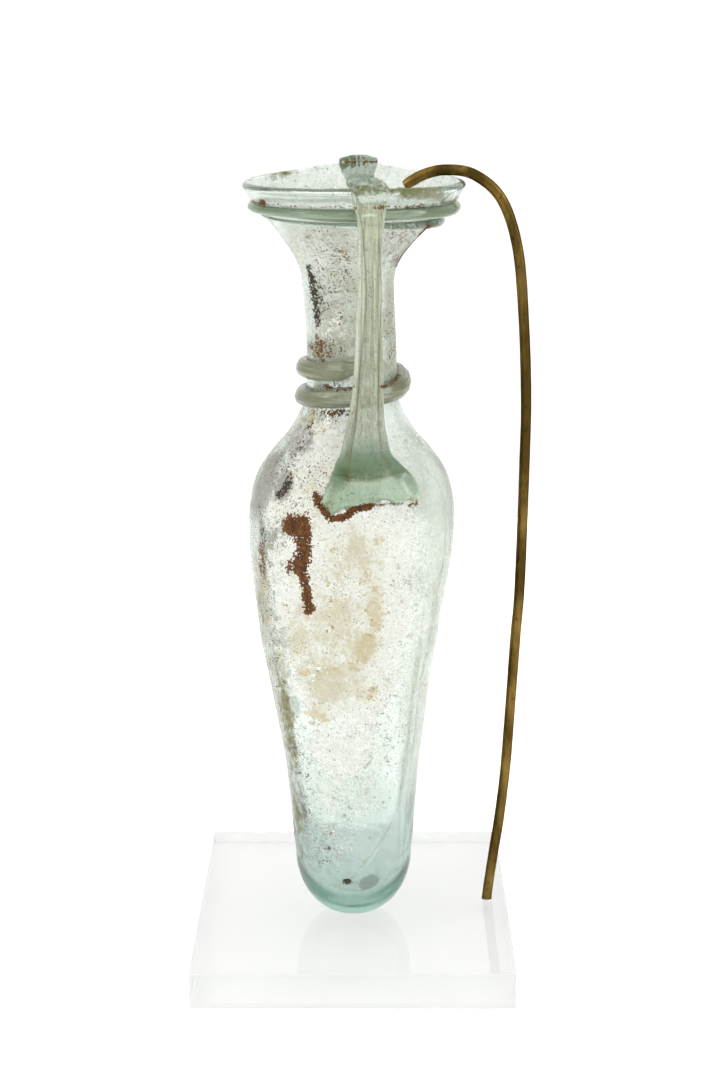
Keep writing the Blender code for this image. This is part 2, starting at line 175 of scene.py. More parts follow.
for lamp_name, (place, size, watts) in LAMPS.items():
    soft_lamp(lamp_name, place, size, watts)
sky = bpy.data.worlds.new("sky")
sky.use_nodes = True
dome = sky.node_tree.nodes["Background"]
upward = sky.node_tree.nodes.new("ShaderNodeSeparateXYZ")
brightness = sky.node_tree.nodes.new("ShaderNodeMapRange")
brightness.inputs["To Min"].default_value = SKY_AT_HORIZON
brightness.inputs["To Max"].default_value = SKY_OVERHEAD
dome.inputs["Color"].default_value = (*SKY_COLOUR, 1)
direction = sky.node_tree.nodes.new("ShaderNodeTexCoord").outputs["Generated"]
sky.node_tree.links.new(direction, upward.inputs["Vector"])
sky.node_tree.links.new(upward.outputs["Z"], brightness.inputs["Value"])
sky.node_tree.links.new(brightness.outputs["Result"], dome.inputs["Strength"])
bpy.context.scene.world = sky
bpy.context.scene.view_settings.view_transform = "Standard"
print("lamps:", ", ".join(LAMPS))

# %% [markdown]
# Materials are written as plain arithmetic. A Wire stands for one output socket, and adding or multiplying wires
# adds the Math nodes for it. A Finish is one material: its node method adds any other node, with its settings and
# what goes into its sockets.
# %% Shader arithmetic
class Wire:
    """An output socket that takes part in arithmetic."""

    def __init__(self, finish, socket):
        self.finish = finish
        self.socket = socket

    def joined(self, operation, left, right):
        return self.finish.node("Math", {"operation": operation}, {0: left, 1: right})

    def __add__(self, other):
        return self.joined("ADD", self, other)

    def __sub__(self, other):
        return self.joined("SUBTRACT", self, other)

    def __rsub__(self, other):
        return self.joined("SUBTRACT", other, self)

    def __mul__(self, other):
        return self.joined("MULTIPLY", self, other)

    def __pow__(self, other):
        return self.joined("POWER", self, other)

    __radd__ = __add__
    __rmul__ = __mul__


class Finish:
    """A material and its nodes."""

    def __init__(self, name):
        self.material = bpy.data.materials.new(name)
        self.material.use_nodes = True
        self.tree = self.material.node_tree
        self.tree.nodes.clear()
        self.output = self.tree.nodes.new("ShaderNodeOutputMaterial")

    def greatest(self, *wires):
        """The largest of several values."""
        found = wires[0]
        for wire in wires[1:]:
            found = self.node("Math", {"operation": "MAXIMUM"}, {0: found, 1: wire})
        return found

    def node(self, kind, settings, sockets, output=0):
        """Add a node, set it up, fill its sockets with values or wires, and give back one of its outputs."""
        made = self.tree.nodes.new("ShaderNode" + kind)
        for name, value in settings.items():
            setattr(made, name, value)
        for name, value in sockets.items():
            if isinstance(value, Wire):
                self.tree.links.new(value.socket, made.inputs[name])
            else:
                made.inputs[name].default_value = value
        return Wire(self, made.outputs[output])

    def mix(self, share, low, high):
        """A colour between two others."""
        sockets = {"Factor": share, 6: low, 7: high}
        return self.node("Mix", {"data_type": "RGBA"}, sockets, 2)

    def layered(self, colour, *layers):
        """A colour with (share, colour) layers over it, the last one on top."""
        for share, over in layers:
            colour = self.mix(share, colour, over)
        return colour

    def step(self, value, low, high):
        """0 below low, 1 above high and smooth between."""
        sockets = {"Value": value, "From Min": low, "From Max": high}
        return self.node("MapRange", {"interpolation_type": "SMOOTHSTEP"}, sockets)

    def noise(self, place, size, detail=4.0, rough=0.55, stretch=(1, 1, 1)):
        """Noise between about -0.5 and 0.5 whose blotches are about this size in metres."""
        scale = tuple(s / size for s in stretch)
        stretched = self.node("VectorMath", {"operation": "MULTIPLY"}, {0: place, 1: scale})
        sockets = {"Vector": stretched, "Scale": 1.0, "Detail": detail, "Roughness": rough}
        return (self.node("TexNoise", {}, sockets) - 0.5) * 1.8

    def also(self, wire, output):
        """Another output of the node that a wire comes from."""
        return Wire(self, wire.socket.node.outputs[output])

    def painted(self, name):
        """A value that was painted on the mesh's points."""
        return self.node("Attribute", {"attribute_name": name}, {}, "Fac")

    def principled(self, colour, roughness, sockets):
        return self.node("BsdfPrincipled", {}, {"Base Color": colour, "Roughness": roughness, **sockets})

    def blend(self, share, low, high):
        """A shader between two others."""
        return self.node("MixShader", {}, {0: share, 1: low, 2: high})

    def surface(self, wire):
        self.tree.links.new(wire.socket, self.output.inputs["Surface"])

    def absorbing(self, colour, density):
        inside = self.node("VolumeAbsorption", {}, {"Color": colour, "Density": density})
        self.tree.links.new(inside.socket, self.output.inputs["Volume"])


print("a finish has:", ", ".join(name for name in vars(Finish) if not name.startswith("_")))

# %% [markdown]
# The sweep is matt paper, nearly white. Under the object it lies on a light table, with a brighter panel just below
# the block, so the block stays as bright as the floor round it and light comes up through the thick glass.
# %% Floor finish
WHITE = (1, 1, 1, 1)
TABLE_COLOUR = (0.93, 0.935, 0.94, 1)
TABLE_GLOW = 0.24
PAPER_COLOUR = (0.89, 0.895, 0.9, 1)
PANEL_GLOW = 0.62
PANEL_DROP = -0.00015


def paper_finish(name, colour, glow, sheet):
    f = Finish(name)
    lit = {"Emission Color": WHITE, "Emission Strength": glow}
    f.surface(f.principled(colour, 0.9, {"Specular IOR Level": 0.1, **lit}))
    sheet.data.materials.append(f.material)


def lit_panel():
    """A brighter panel of the light table, just as large as the block that stands on it."""
    (x0, y0, _), (x1, y1, _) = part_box("base_block")
    points = [(x, y, PANEL_DROP) for x, y in ((x0, y0), (x1, y0), (x1, y1), (x0, y1))]
    made = placed("lit_panel", mesh_of("lit_panel", points, [(0, 1, 2, 3)]))
    return made


panel = lit_panel()
paper_finish("light_table", TABLE_COLOUR, TABLE_GLOW, floor)
paper_finish("pale_paper", PAPER_COLOUR, 0.0, floor)
paper_finish("bright_panel", TABLE_COLOUR, PANEL_GLOW, panel)
for face in floor.data.polygons:
    face.material_index = int(face.index > 0)
print("the lit panel is", [round(v, 3) for v in panel.dimensions[:2]], "m")

# %% [markdown]
# All shapes are worked out in millimetres, in the flask's own frame: the origin is its lowest point, the axis is
# upright, and azimuths run from the front towards the right. One function moves the finished points to metres.
#
# The first helper draws a smooth line through a few points and shares points out evenly along it.
# %% Lines and steps
MM = 0.001
FLASK_FOOT = Vector((0, -0.007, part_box("flask")[0][2]))


def smooth_line(points, count, fine=24):
    """This many points, evenly spread along a smooth curve through the given ones."""
    p = np.array(points, float)
    p = np.vstack([2 * p[0] - p[1], p, 2 * p[-1] - p[-2]])
    t = np.linspace(0, 1, fine, endpoint=False)[:, None]
    runs = []
    for a, b, c, d in zip(p, p[1:], p[2:], p[3:]):
        runs.append(0.5 * (2 * b + (c - a) * t + (2 * a - 5 * b + 4 * c - d) * t**2 + (3 * b - a - 3 * c + d) * t**3))
    line = np.vstack([*runs, p[-2]])
    length = np.concatenate([[0], np.cumsum(np.linalg.norm(np.diff(line[:, :3], axis=0), axis=1))])
    wanted = np.linspace(0, length[-1], count)
    return np.stack([np.interp(wanted, length, line[:, k]) for k in range(line.shape[1])], axis=1)


def ease(low, high, value):
    """0 up to low, 1 from high on, and smooth between."""
    share = np.clip((value - low) / (high - low), 0, 1)
    return share * share * (3 - 2 * share)


def bell(centre, spread, value):
    return np.exp(-(((value - centre) / spread) ** 2))


def full_turn(count):
    """Angles spread evenly once round, without the last one, which is the first."""
    return np.linspace(0, 2 * math.pi, count, endpoint=False)


def round_axis(azimuth, radius, height):
    """Places in the flask's own frame."""
    return np.stack([radius * np.sin(azimuth), -radius * np.cos(azimuth), height], axis=-1)


def rumple(points, size, seed):
    """Smooth noise between about -1 and 1 at each point, with bumps of this size."""
    shift = Vector((seed * 17.3, seed * 5.1, seed * 9.7))
    return np.array([noise.noise(Vector(p) / size + shift) for p in points])


print("the flask's foot stands at", [round(v / MM, 2) for v in FLASK_FOOT], "mm")

# %% [markdown]
# The blown body is turned: a profile runs from the middle of the bottom, up the outer wall, over the lip and down
# the inner wall to the inner floor. The glass is thin in the wall and thick in the bottom, where it pooled.
# %% Profile of the blown body
FOOT_RADIUS = 18.6
FOOT_HEIGHT = 22.0
FOOT_ROUNDNESS = 2.2
FLASK_HEIGHT = 233.8
LIP_RADIUS = 1.3
FLOOR_THICKNESS = 6.5
WALL_THICKNESS = 1.8
POOLED_GLASS = 1.7  # how much thicker the wall is at the bottom
LIP_SWELL = 0.3
OUTER_ROWS = 200
INNER_ROWS = 84
OUTER_FOOT_ROWS = 46
INNER_FOOT_ROWS = 42
WALL_STATIONS = [
    # height, radius over the ridges
    (22.0, 18.6), (36.1, 20.3), (50.2, 22.9), (66.2, 25.5), (82.2, 28.0), (98.1, 30.9), (116.0, 32.4),
    (131.1, 31.8), (144.4, 29.5), (152.0, 25.2), (158.8, 19.5), (164.9, 15.8), (171.0, 13.8), (183.4, 13.4),
    (198.0, 13.4), (206.5, 13.9), (211.7, 15.8), (217.0, 19.6), (222.1, 24.1), (227.5, 29.4), (232.5, 32.6),
]
wall_line = smooth_line(WALL_STATIONS, 400)


def wall_radius(height):
    return np.interp(height, wall_line[:, 0], wall_line[:, 1])


def wall_normal(height):
    """(outward, upward) parts of the wall's normal."""
    slope = (wall_radius(height + 1) - wall_radius(height - 1)) / 2
    length = np.sqrt(1 + slope**2)
    return 1 / length, -slope / length


def rounded_foot(radius, low, high, count):
    """(radius, height) points of a rounded bottom, from its middle outward."""
    angle = np.linspace(0, math.pi / 2, count)
    power = 2 / FOOT_ROUNDNESS
    return np.stack([radius * np.sin(angle) ** power, low + (high - low) * (1 - np.cos(angle) ** power)], axis=1)


def thickness_at(height):
    """The wall is thicker low down and a little thicker just under the lip."""
    return WALL_THICKNESS + POOLED_GLASS * (1 - ease(15, 75, height)) + LIP_SWELL * bell(229, 5, height)


def body_profile():
    """(radius, height) rows from the middle of the underside to the middle of the inner floor."""
    outer_wall = smooth_line(WALL_STATIONS, OUTER_ROWS)[:, ::-1]
    heights = smooth_line(WALL_STATIONS, INNER_ROWS)[:-1, 0]
    outward, upward = wall_normal(heights)
    thick = thickness_at(heights)
    inner_wall = np.stack([wall_radius(heights) - thick * outward, heights - thick * upward], axis=1)[::-1]
    angle = np.linspace(0, math.pi, 9)[1:-1]
    lip_middle = (wall_line[-1, 1] - LIP_RADIUS, wall_line[-1, 0])
    lip = lip_middle + LIP_RADIUS * np.stack([np.cos(angle), np.sin(angle)], axis=1)
    outer_foot = rounded_foot(FOOT_RADIUS, 0, FOOT_HEIGHT, OUTER_FOOT_ROWS)[:-1]
    inner_foot = rounded_foot(inner_wall[-1, 0], FLOOR_THICKNESS, inner_wall[-1, 1], INNER_FOOT_ROWS)[-2::-1]
    return np.vstack([outer_foot, outer_wall, lip, inner_wall, inner_foot])


profile = body_profile()
print("profile rows:", len(profile))

# %% [markdown]
# The round blank was pressed while it was soft. Four broad hollows run down the body with rounded ridges between
# them, the lip rises at the front and the back, and the neck leans a little. One function presses everything that
# was already on the body, so the trails and the handle follow it.
# %% Pressing
HOLLOW_DEPTH = 0.1
HOLLOW_SPAN = (26.4, 58, 99.8, 139.8)  # begins, full depth, still full, ends
HOLLOW_TURN = math.radians(-2)
RIDGE_SHARPNESS = 1.4
CREST = 0.22
MOUTH_LIFT = 0.8
MOUTH_PEAK = 2.0
MOUTH_SWAY = 0.8
NECK_SWAY = 1.1
BODY_SWAY = 0.9
NECK_HEIGHT = 206.5
BLOWN_WAVES = 0.13


def pressed(points):
    """Where points of the round flask go when the hollows, the raised lip and the slight lean are in."""
    x, y, height = np.asarray(points, float).T
    azimuth = np.arctan2(x, -y)
    pressed_in = ease(*HOLLOW_SPAN[:2], height) * (1 - ease(*HOLLOW_SPAN[2:], height))
    wave = np.cos(2 * (azimuth - HOLLOW_TURN))
    crest = CREST * pressed_in * ease(40, 90, height) * bell(0, 0.12, wave) / wall_radius(height)
    narrowed = 1 - HOLLOW_DEPTH * pressed_in * np.abs(wave) ** RIDGE_SHARPNESS + crest
    collar = ease(212.8, 230.6, height)
    back = np.maximum(0, -np.cos(azimuth))
    lift = MOUTH_LIFT * np.cos(azimuth) ** 2 + MOUTH_PEAK * back**10
    sway = MOUTH_SWAY * collar - NECK_SWAY * bell(NECK_HEIGHT, 13, height) - BODY_SWAY * bell(93, 30, height)
    return np.stack([x * narrowed + sway, y * narrowed, height + lift * collar], axis=1)


# %% Blown body
COLUMNS = 160
BODY_PART, INSIDE_PART, TRAIL_PART, HANDLE_PART = range(4)


def closed_faces(rows, around):
    """Faces of a closed skin over rows of points, which a single point in the middle of each end follows."""
    first, last, top = rows * around, rows * around + 1, (rows - 1) * around
    faces = []
    for i in range(rows - 1):
        for j in range(around):
            k = (j + 1) % around
            faces.append((i * around + j, i * around + k, (i + 1) * around + k, (i + 1) * around + j))
    for j in range(around):
        k = (j + 1) % around
        faces += [(first, k, j), (last, top + j, top + k)]
    return faces


def turned(rows, columns):
    """Points and faces of a closed turned shape whose first and last rows are single points."""
    radius, height = rows[1:-1].T
    rings = round_axis(full_turn(columns), radius[:, None], np.repeat(height[:, None], columns, axis=1))
    points = np.vstack([rings.reshape(-1, 3), [0, 0, rows[0, 1]], [0, 0, rows[-1, 1]]])
    return points, closed_faces(len(radius), columns)


def wavy(points):
    """Slow waves in the glass, different inside and out, which bend what is seen through it."""
    azimuth = np.arctan2(points[:, 0], -points[:, 1])
    radius = np.hypot(points[:, 0], points[:, 1])
    inside = radius < wall_radius(points[:, 2]) * np.ones(len(points)) - 0.5
    drawn_out = points * (1, 1, 0.3)
    calm = ease(2, 6, radius) * (0.3 + 0.7 * ease(15, 60, points[:, 2]))
    push = BLOWN_WAVES * np.where(inside, rumple(drawn_out, 9, 3), rumple(drawn_out, 11, 1)) * calm
    return points + round_axis(azimuth, push, 0 * push)


body_points, body_faces = turned(profile, COLUMNS)
body_points = pressed(wavy(body_points))
lip_row = int(np.argmax(profile[:, 1]))
row_parts = np.where(np.arange(len(profile) - 3) < lip_row, BODY_PART, INSIDE_PART)
body_parts = np.concatenate([np.repeat(row_parts, COLUMNS), np.tile([BODY_PART, INSIDE_PART], COLUMNS)])
print("blown body:", len(body_points), "points, the lip is in row", lip_row)

# %% [markdown]
# A trail is a thread of hot glass laid on the turning body. Its section is swept along a spiral on the wall, and
# sinks half-way into the wall, as a soft thread does. The mouth trail is round. It starts thin at the left, goes
# once round the funnel and then lies partly over its own start.
# %% Sweeping a section
SINK = 0.9


def on_wall(azimuth, height, stand_off):
    """Points this far outside the wall, measured square to it."""
    outward, upward = wall_normal(height)
    return round_axis(azimuth, wall_radius(height) + stand_off * outward, height + stand_off * upward)


def capped(rings):
    """Points and faces of a closed skin over an array of rings, with a point in the middle of each end."""
    points = np.vstack([rings.reshape(-1, 3), rings[0].mean(axis=0), rings[-1].mean(axis=0)])
    return points, closed_faces(*rings.shape[:2])


def laid_on_wall(azimuth, height, sections):
    """A closed trail through places on the wall, with a section of (across, outward) points for each."""
    outward, upward = wall_normal(height)
    rings = []
    for a, h, out, up, shape in zip(azimuth, height, outward, upward, sections):
        middle = on_wall(a, h, 0.0)
        normal = np.array([out * math.sin(a), -out * math.cos(a), up])
        across = np.array([-up * math.sin(a), up * math.cos(a), out])
        rings.append(middle + np.outer(shape[:, 0], across) + np.outer(shape[:, 1], normal))
    return capped(np.array(rings))


# %% Mouth trail
MOUTH_TRAIL_RADIUS = 1.65
MOUTH_TRAIL_STATIONS = [
    # azimuth in degrees, height below the lip, share of the full radius
    (-90, 9.2, 0.16), (-40, 9.8, 0.34), (0, 10.4, 0.6), (50, 10.8, 0.86), (100, 10.6, 0.95), (180, 9.0, 0.95),
    (240, 7.2, 0.88), (280, 6.6, 0.8), (320, 6.7, 0.86), (360, 6.9, 0.98), (430, 6.8, 1.06), (480, 6.6, 0.95),
    (512, 6.6, 0.3),
]
MOUTH_TRAIL_SIDES = 20


def mouth_trail():
    line = smooth_line([(a / 10, drop, share) for a, drop, share in MOUTH_TRAIL_STATIONS], 300)
    azimuth = np.radians(line[:, 0] * 10)
    height = FLASK_HEIGHT - line[:, 1]
    radius = MOUTH_TRAIL_RADIUS * line[:, 2] * (1 + 0.06 * np.sin(azimuth * 5.3))
    angle = full_turn(MOUTH_TRAIL_SIDES)
    sections = []
    for r, a in zip(radius, azimuth):
        sunk = r - min(SINK, r * 0.8)
        ripple = 1 + 0.05 * np.cos(3 * angle + a * 2)
        sections.append(np.stack([r * ripple * np.cos(angle), sunk + r * ripple * np.sin(angle)], axis=1))
    return laid_on_wall(azimuth, height, sections)


mouth_points, mouth_faces = mouth_trail()
print("mouth trail:", len(mouth_points), "points")

# %% [markdown]
# The neck trail is a thick cane that was ribbed lengthwise before it was wound on. It starts behind the handle,
# goes round by the left and the back, crosses the front lower down and ends at the back. Its ribs wander a little
# round the section, as they do in a cane that was twisted by hand.
# %% Neck trail
HANDLE_AZIMUTH = math.radians(9.2)
NECK_TRAIL_WIDTH = 5.9
NECK_TRAIL_THICKNESS = 4.6
NECK_TRAIL_PITCH = 8.4
NECK_TRAIL_TURNS = 1.45
NECK_TRAIL_START = 181.0
NECK_TRAIL_SWELL = 0.11
NECK_TRAIL_SIDES = 44
CANE_RIBS = 11
CANE_RIB_DEPTH = 0.035


def neck_trail():
    share = np.linspace(0, 1, 260)
    turns = NECK_TRAIL_TURNS * share
    azimuth = HANDLE_AZIMUTH - 2 * math.pi * turns
    height = NECK_TRAIL_START - NECK_TRAIL_PITCH * turns + 0.25 * np.sin(azimuth * 2.7)
    full = 0.45 + 0.55 * ease(0, 0.04, share) * (1 - ease(0.94, 1, share))
    full *= 1 + NECK_TRAIL_SWELL * np.sin(azimuth)
    angle = full_turn(NECK_TRAIL_SIDES)
    sections = []
    for size, a in zip(full, azimuth):
        twist = 0.35 * a + 0.15 * math.sin(3.1 * a)
        ribs = 1 + CANE_RIB_DEPTH * np.cos(CANE_RIBS * (angle - twist)) + 0.03 * np.cos(3 * angle + a)
        across = NECK_TRAIL_WIDTH / 2 * size * ribs * np.sin(angle)
        outward = NECK_TRAIL_THICKNESS / 2 * size * (1 + ribs * np.cos(angle)) - SINK
        sections.append(np.stack([-across, outward], axis=1))
    return laid_on_wall(azimuth, height, sections)


neck_points, neck_faces = neck_trail()
print("neck trail:", len(neck_points), "points")

# %% [markdown]
# The handle was drawn up from a blob pressed on the shoulder. Its section changes all the way: a broad lobed pad,
# a strap with deep grooves where a tool combed the hot glass, a bend over the mouth trail, and a pinched thumb
# rest. It is lofted through rings, and each ring takes its width, thickness and place from a few stations.
# %% Strap section
STRAP_POINTS = 76
STRAP_RIBS = [
    # place across the strap from -1 at the left, half-width, height in shares of the thickness
    (-0.84, 0.12, 0.1), (-0.63, 0.045, -0.2), (-0.44, 0.08, 0.05), (-0.26, 0.04, -0.04), (-0.08, 0.03, -0.07),
    (0.1, 0.08, 0.04), (0.24, 0.04, -0.08), (0.42, 0.09, 0.13), (0.61, 0.04, -0.16), (0.8, 0.09, 0.08),
]


def strap_section(width, thickness, ribs):
    """(across, outward) points round the strap, from the right edge over the ribbed face and back behind."""
    angle = full_turn(STRAP_POINTS)
    across = np.sign(np.cos(angle)) * np.abs(np.cos(angle)) ** 0.75
    outward = np.sign(np.sin(angle)) * np.abs(np.sin(angle)) ** 0.55
    relief = sum(high * bell(place, wide, across) for place, wide, high in STRAP_RIBS)
    face = np.where(outward > 0, 1.4, -0.5) * relief * ribs
    return np.stack([across * width / 2, (outward + face * np.abs(outward)) * thickness / 2], axis=1)


# %% Handle
STRAP_STATIONS = [
    # height, distance from the axis, lean in degrees, width, thickness, ribs, shift to the right
    (151.8, 25.5, 30, 22.8, 2.9, 0.05, 1.7), (153.7, 26.1, 8, 20.5, 3.1, 0.15, 1.2),
    (156.0, 26.9, -12, 17.9, 3.6, 0.5, 0.4), (158.6, 27.6, -20, 14.8, 4.0, 0.8, -0.1),
    (163.3, 28.8, -22, 12.8, 4.2, 0.9, -0.4), (169.8, 30.6, -17, 10.4, 4.2, 0.9, -0.5),
    (177.1, 32.2, -11, 9.0, 4.2, 0.9, -0.4), (187.4, 33.5, -6, 8.0, 4.2, 0.9, -0.1),
    (199.8, 33.9, -2, 7.3, 4.2, 0.9, 0.6), (206.5, 33.9, 0, 7.0, 4.2, 0.9, 0.95),
    (212.9, 33.6, 2, 6.9, 4.2, 0.9, 0.75), (220.4, 33.3, 6, 6.9, 4.2, 0.8, 0.25),
    (224.4, 33.2, 6, 7.4, 4.6, 0.3, 0.0), (228.2, 33.0, 4, 8.6, 4.0, 0.2, -0.3),
    (231.0, 32.7, 0, 9.2, 3.9, 0.3, -0.5), (233.6, 32.4, 0, 9.6, 4.0, 0.3, -0.9),
    (235.3, 32.2, 0, 9.0, 4.4, 0.3, -2.0), (236.6, 32.1, 0, 8.0, 4.4, 0.2, -3.1),
    (238.2, 32.1, 0, 8.7, 4.4, 0.1, -3.7), (239.8, 32.1, 0, 10.0, 5.2, 0.0, -3.7),
    (240.7, 32.1, 0, 10.7, 5.9, 0.0, -3.7), (241.15, 32.1, 0, 10.5, 5.5, 0.0, -3.7),
    (241.7, 32.1, 0, 10.7, 5.9, 0.0, -3.7), (242.5, 32.1, 0, 9.9, 5.2, 0.0, -3.6),
    (242.95, 32.1, 0, 7.6, 3.8, 0.0, -3.5), (243.1, 32.1, 0, 4.0, 2.0, 0.0, -3.5),
]
STRAP_RINGS = 170
WRAP_RADIUS = 26.0  # the strap's foot is wrapped round the shoulder and straightens as it leaves the glass


def strap_rings():
    rings = []
    sideways = np.array([math.cos(HANDLE_AZIMUTH), math.sin(HANDLE_AZIMUTH), 0])
    outward = np.array([math.sin(HANDLE_AZIMUTH), -math.cos(HANDLE_AZIMUTH), 0])
    for height, away, lean, width, thickness, ribs, shift in smooth_line(STRAP_STATIONS, STRAP_RINGS):
        section = strap_section(width, thickness, ribs)
        tipped = outward * math.cos(math.radians(lean)) + np.array([0, 0, math.sin(math.radians(lean))])
        middle = outward * away + sideways * shift + np.array([0, 0, height])
        wrapped = section[:, 0] ** 2 / (2 * WRAP_RADIUS) * (1 - ease(153, 164, height))
        sagging = FOLD_SAG * (1 - (section[:, 0] / width * 2) ** 2) * (1 - ease(151, 159, height))
        ring = middle + np.outer(section[:, 0], sideways) + np.outer(section[:, 1], tipped)
        rings.append(ring - np.outer(wrapped, outward) - np.outer(sagging, (0, 0, 1)))
    return rings


PAD_STATIONS = [
    # share of the way from the lower edge up, left edge, right edge, thickness
    (0.00, -8.0, 18.8, 0.8), (0.04, -8.8, 20.2, 1.7), (0.12, -9.1, 21.0, 2.3), (0.3, -8.5, 21.2, 2.5),
    (0.55, -7.6, 21.0, 2.4), (0.8, -6.8, 20.0, 2.5), (1.00, -6.0, 18.7, 2.7),
]
PAD_RINGS = 34
PAD_TOP = 150.6
FOLD_SAG = 1.3


def pad_edge(across):
    """The height of the pad's lower edge: a long lobe at the left, then small scallops."""
    edge = 144.6 - 3.0 * bell(-5.6, 3.2, across) - 0.9 * bell(1.5, 3.5, across)
    return edge - 1.4 * bell(14.3, 2.2, across) - 0.8 * bell(19.2, 1.6, across) + 0.5 * bell(9.5, 2.5, across)


def pad_rings():
    rings = []
    for share, left, right, thickness in smooth_line(PAD_STATIONS, PAD_RINGS):
        section = strap_section(1.0, thickness, 0.0)
        across = (left + right) / 2 + section[:, 0] * (right - left)
        fold = PAD_TOP - FOLD_SAG * (1 - section[:, 0] ** 2 * 4)
        height = pad_edge(across) * (1 - share) + fold * share
        dimple = 1 + 0.12 * rumple(np.stack([across, height, 0 * across], axis=1), 3.2, 7) * (section[:, 1] > 0)
        stand_off = section[:, 1] * dimple + thickness / 2 - SINK
        rings.append(on_wall(across / wall_radius(height), height, stand_off))
    return rings


handle_points, handle_faces = capped(np.array([*pad_rings(), *strap_rings()]))
print("handle:", len(handle_points), "points")

# %% [markdown]
# Where the strap folds over the lip, the glass curled into small rolls. Each is a short bent thread.
# %% Rolls at the lip
ROLL_SIDES = 20
ROLLS = {
    "curl": [(2.2, -33.6, 234.2, 0.5), (0.3, -34.2, 234.3, 0.8), (-1.0, -34.5, 235.6, 0.85), (-0.4, -34.7, 236.9, 0.85),
             (1.2, -34.4, 237.2, 0.8), (2.6, -33.6, 236.6, 0.5)],
    "fold": [(1.4, -33.4, 235.2, 0.7), (3.4, -34.0, 236.0, 1.2), (6.0, -33.8, 235.6, 1.35), (8.2, -32.9, 234.4, 1.3),
             (9.8, -31.6, 233.2, 0.7)],
    "lip_crease": [(-0.2, -33.9, 233.6, 0.4), (0.6, -34.5, 231.8, 0.8), (1.0, -34.7, 229.6, 0.8),
                   (1.3, -34.6, 227.6, 0.4)],
}


def thread(stations, rings=40, sides=ROLL_SIDES):
    """A closed round thread through stations of (x, y, z, radius)."""
    line = smooth_line(stations, rings)
    middle, radius = line[:, :3], line[:, 3]
    forward = np.gradient(middle, axis=0)
    forward /= np.linalg.norm(forward, axis=1)[:, None]
    angle = full_turn(sides)
    found = []
    side = np.cross(forward[0], (0, 0.6, 0.8))
    for place, ahead, r in zip(middle, forward, radius):
        side = side - ahead * (side @ ahead)
        side /= np.linalg.norm(side)
        up = np.cross(ahead, side)
        found.append(place + r * (np.outer(np.cos(angle), side) + np.outer(np.sin(angle), up)))
    return capped(np.array(found))


rolls = {name: thread(stations) for name, stations in ROLLS.items()}
print("rolls:", ", ".join(rolls))

# %% [markdown]
# In the real flask all of this is one piece of glass. Light bends only where air meets glass, so the parts have to
# be fused here too: a Boolean union leaves one closed skin with nothing inside the glass. Each part carries its
# own slot number through the union, which tells later which points belong to the handle or a trail.
# %% Fusing the glass
def glass_part(name, points, faces, part):
    """A mesh object in metres whose faces carry the number of their part, or one each."""
    mesh = mesh_of(name, (points * MM + np.array(FLASK_FOOT)).tolist(), faces)
    for _ in range(HANDLE_PART + 1):
        mesh.materials.append(None)
    mesh.polygons.foreach_set("material_index", np.broadcast_to(part, len(faces)).astype(np.int32))
    shape = bmesh.new()
    shape.from_mesh(mesh)
    bmesh.ops.recalc_face_normals(shape, faces=shape.faces)
    shape.to_mesh(mesh)
    shape.free()
    return placed(name, mesh)


def fused(body, extras):
    """The body with the extras united to it, as one closed mesh."""
    for extra in extras:
        weld = body.modifiers.new(extra.name, "BOOLEAN")
        weld.operation = "UNION"
        weld.solver = "MANIFOLD"
        weld.object = extra
    graph = bpy.context.evaluated_depsgraph_get()
    mesh = bpy.data.meshes.new_from_object(body.evaluated_get(graph), depsgraph=graph)
    for used in (body, *extras):
        bpy.data.objects.remove(used)
    return placed("glass_flask", mesh)


blown = glass_part("blown_body", body_points, body_faces, body_parts)
added = [
    glass_part("mouth_trail", pressed(mouth_points), mouth_faces, TRAIL_PART),
    glass_part("neck_trail", pressed(neck_points), neck_faces, TRAIL_PART),
    glass_part("handle", pressed(handle_points), handle_faces, HANDLE_PART),
]
added += [glass_part(name, pressed(points), faces, HANDLE_PART) for name, (points, faces) in rolls.items()]
flask = fused(blown, added)
print("fused flask:", len(flask.data.vertices), "points,", len(flask.data.polygons), "faces")

# %% [markdown]
# The surface of old glass is uneven: clear here, milky there, with soil in the corners. Broad patches are painted
# on the mesh's points, each as a soft ellipse or a soft line at its place in the picture, on the side that the
# picture shows. The far side, which it hides, gets patches of its own kind by noise. The materials then break up
# every edge into flakes and crumbs.
# %% Where the points are
coordinates = np.empty(len(flask.data.vertices) * 3)
flask.data.vertices.foreach_get("co", coordinates)
coordinates = coordinates.reshape(-1, 3)
local = (coordinates - np.array(FLASK_FOOT)) / MM
heights = local[:, 2]
seen_at = in_photo(coordinates)
near_side = ease(3, -3, local[:, 1])
part_of = np.zeros(len(coordinates), int)
for face in flask.data.polygons:
    for corner in face.vertices:
        part_of[corner] = max(part_of[corner], face.material_index)
on_handle = part_of == HANDLE_PART
on_trail = part_of == TRAIL_PART
on_cane = on_handle | on_trail
outside = (part_of == BODY_PART) * 1.0
print("points outside:", int(outside.sum()), "on the handle:", int(on_handle.sum()), "on trails:", int(on_trail.sum()))


# %% Painting tools
def patch(strength, x, y, wide, high, tilt=0.0):
    """A soft ellipse round a pixel of the photograph, which falls through half its strength at its edge."""
    turn = math.radians(tilt)
    dx, dy = seen_at[:, 0] - x, seen_at[:, 1] - y
    along = (dx * math.cos(turn) + dy * math.sin(turn)) / wide
    over = (dy * math.cos(turn) - dx * math.sin(turn)) / high
    return strength * np.clip(1.5 - np.sqrt(along**2 + over**2), 0, 1)


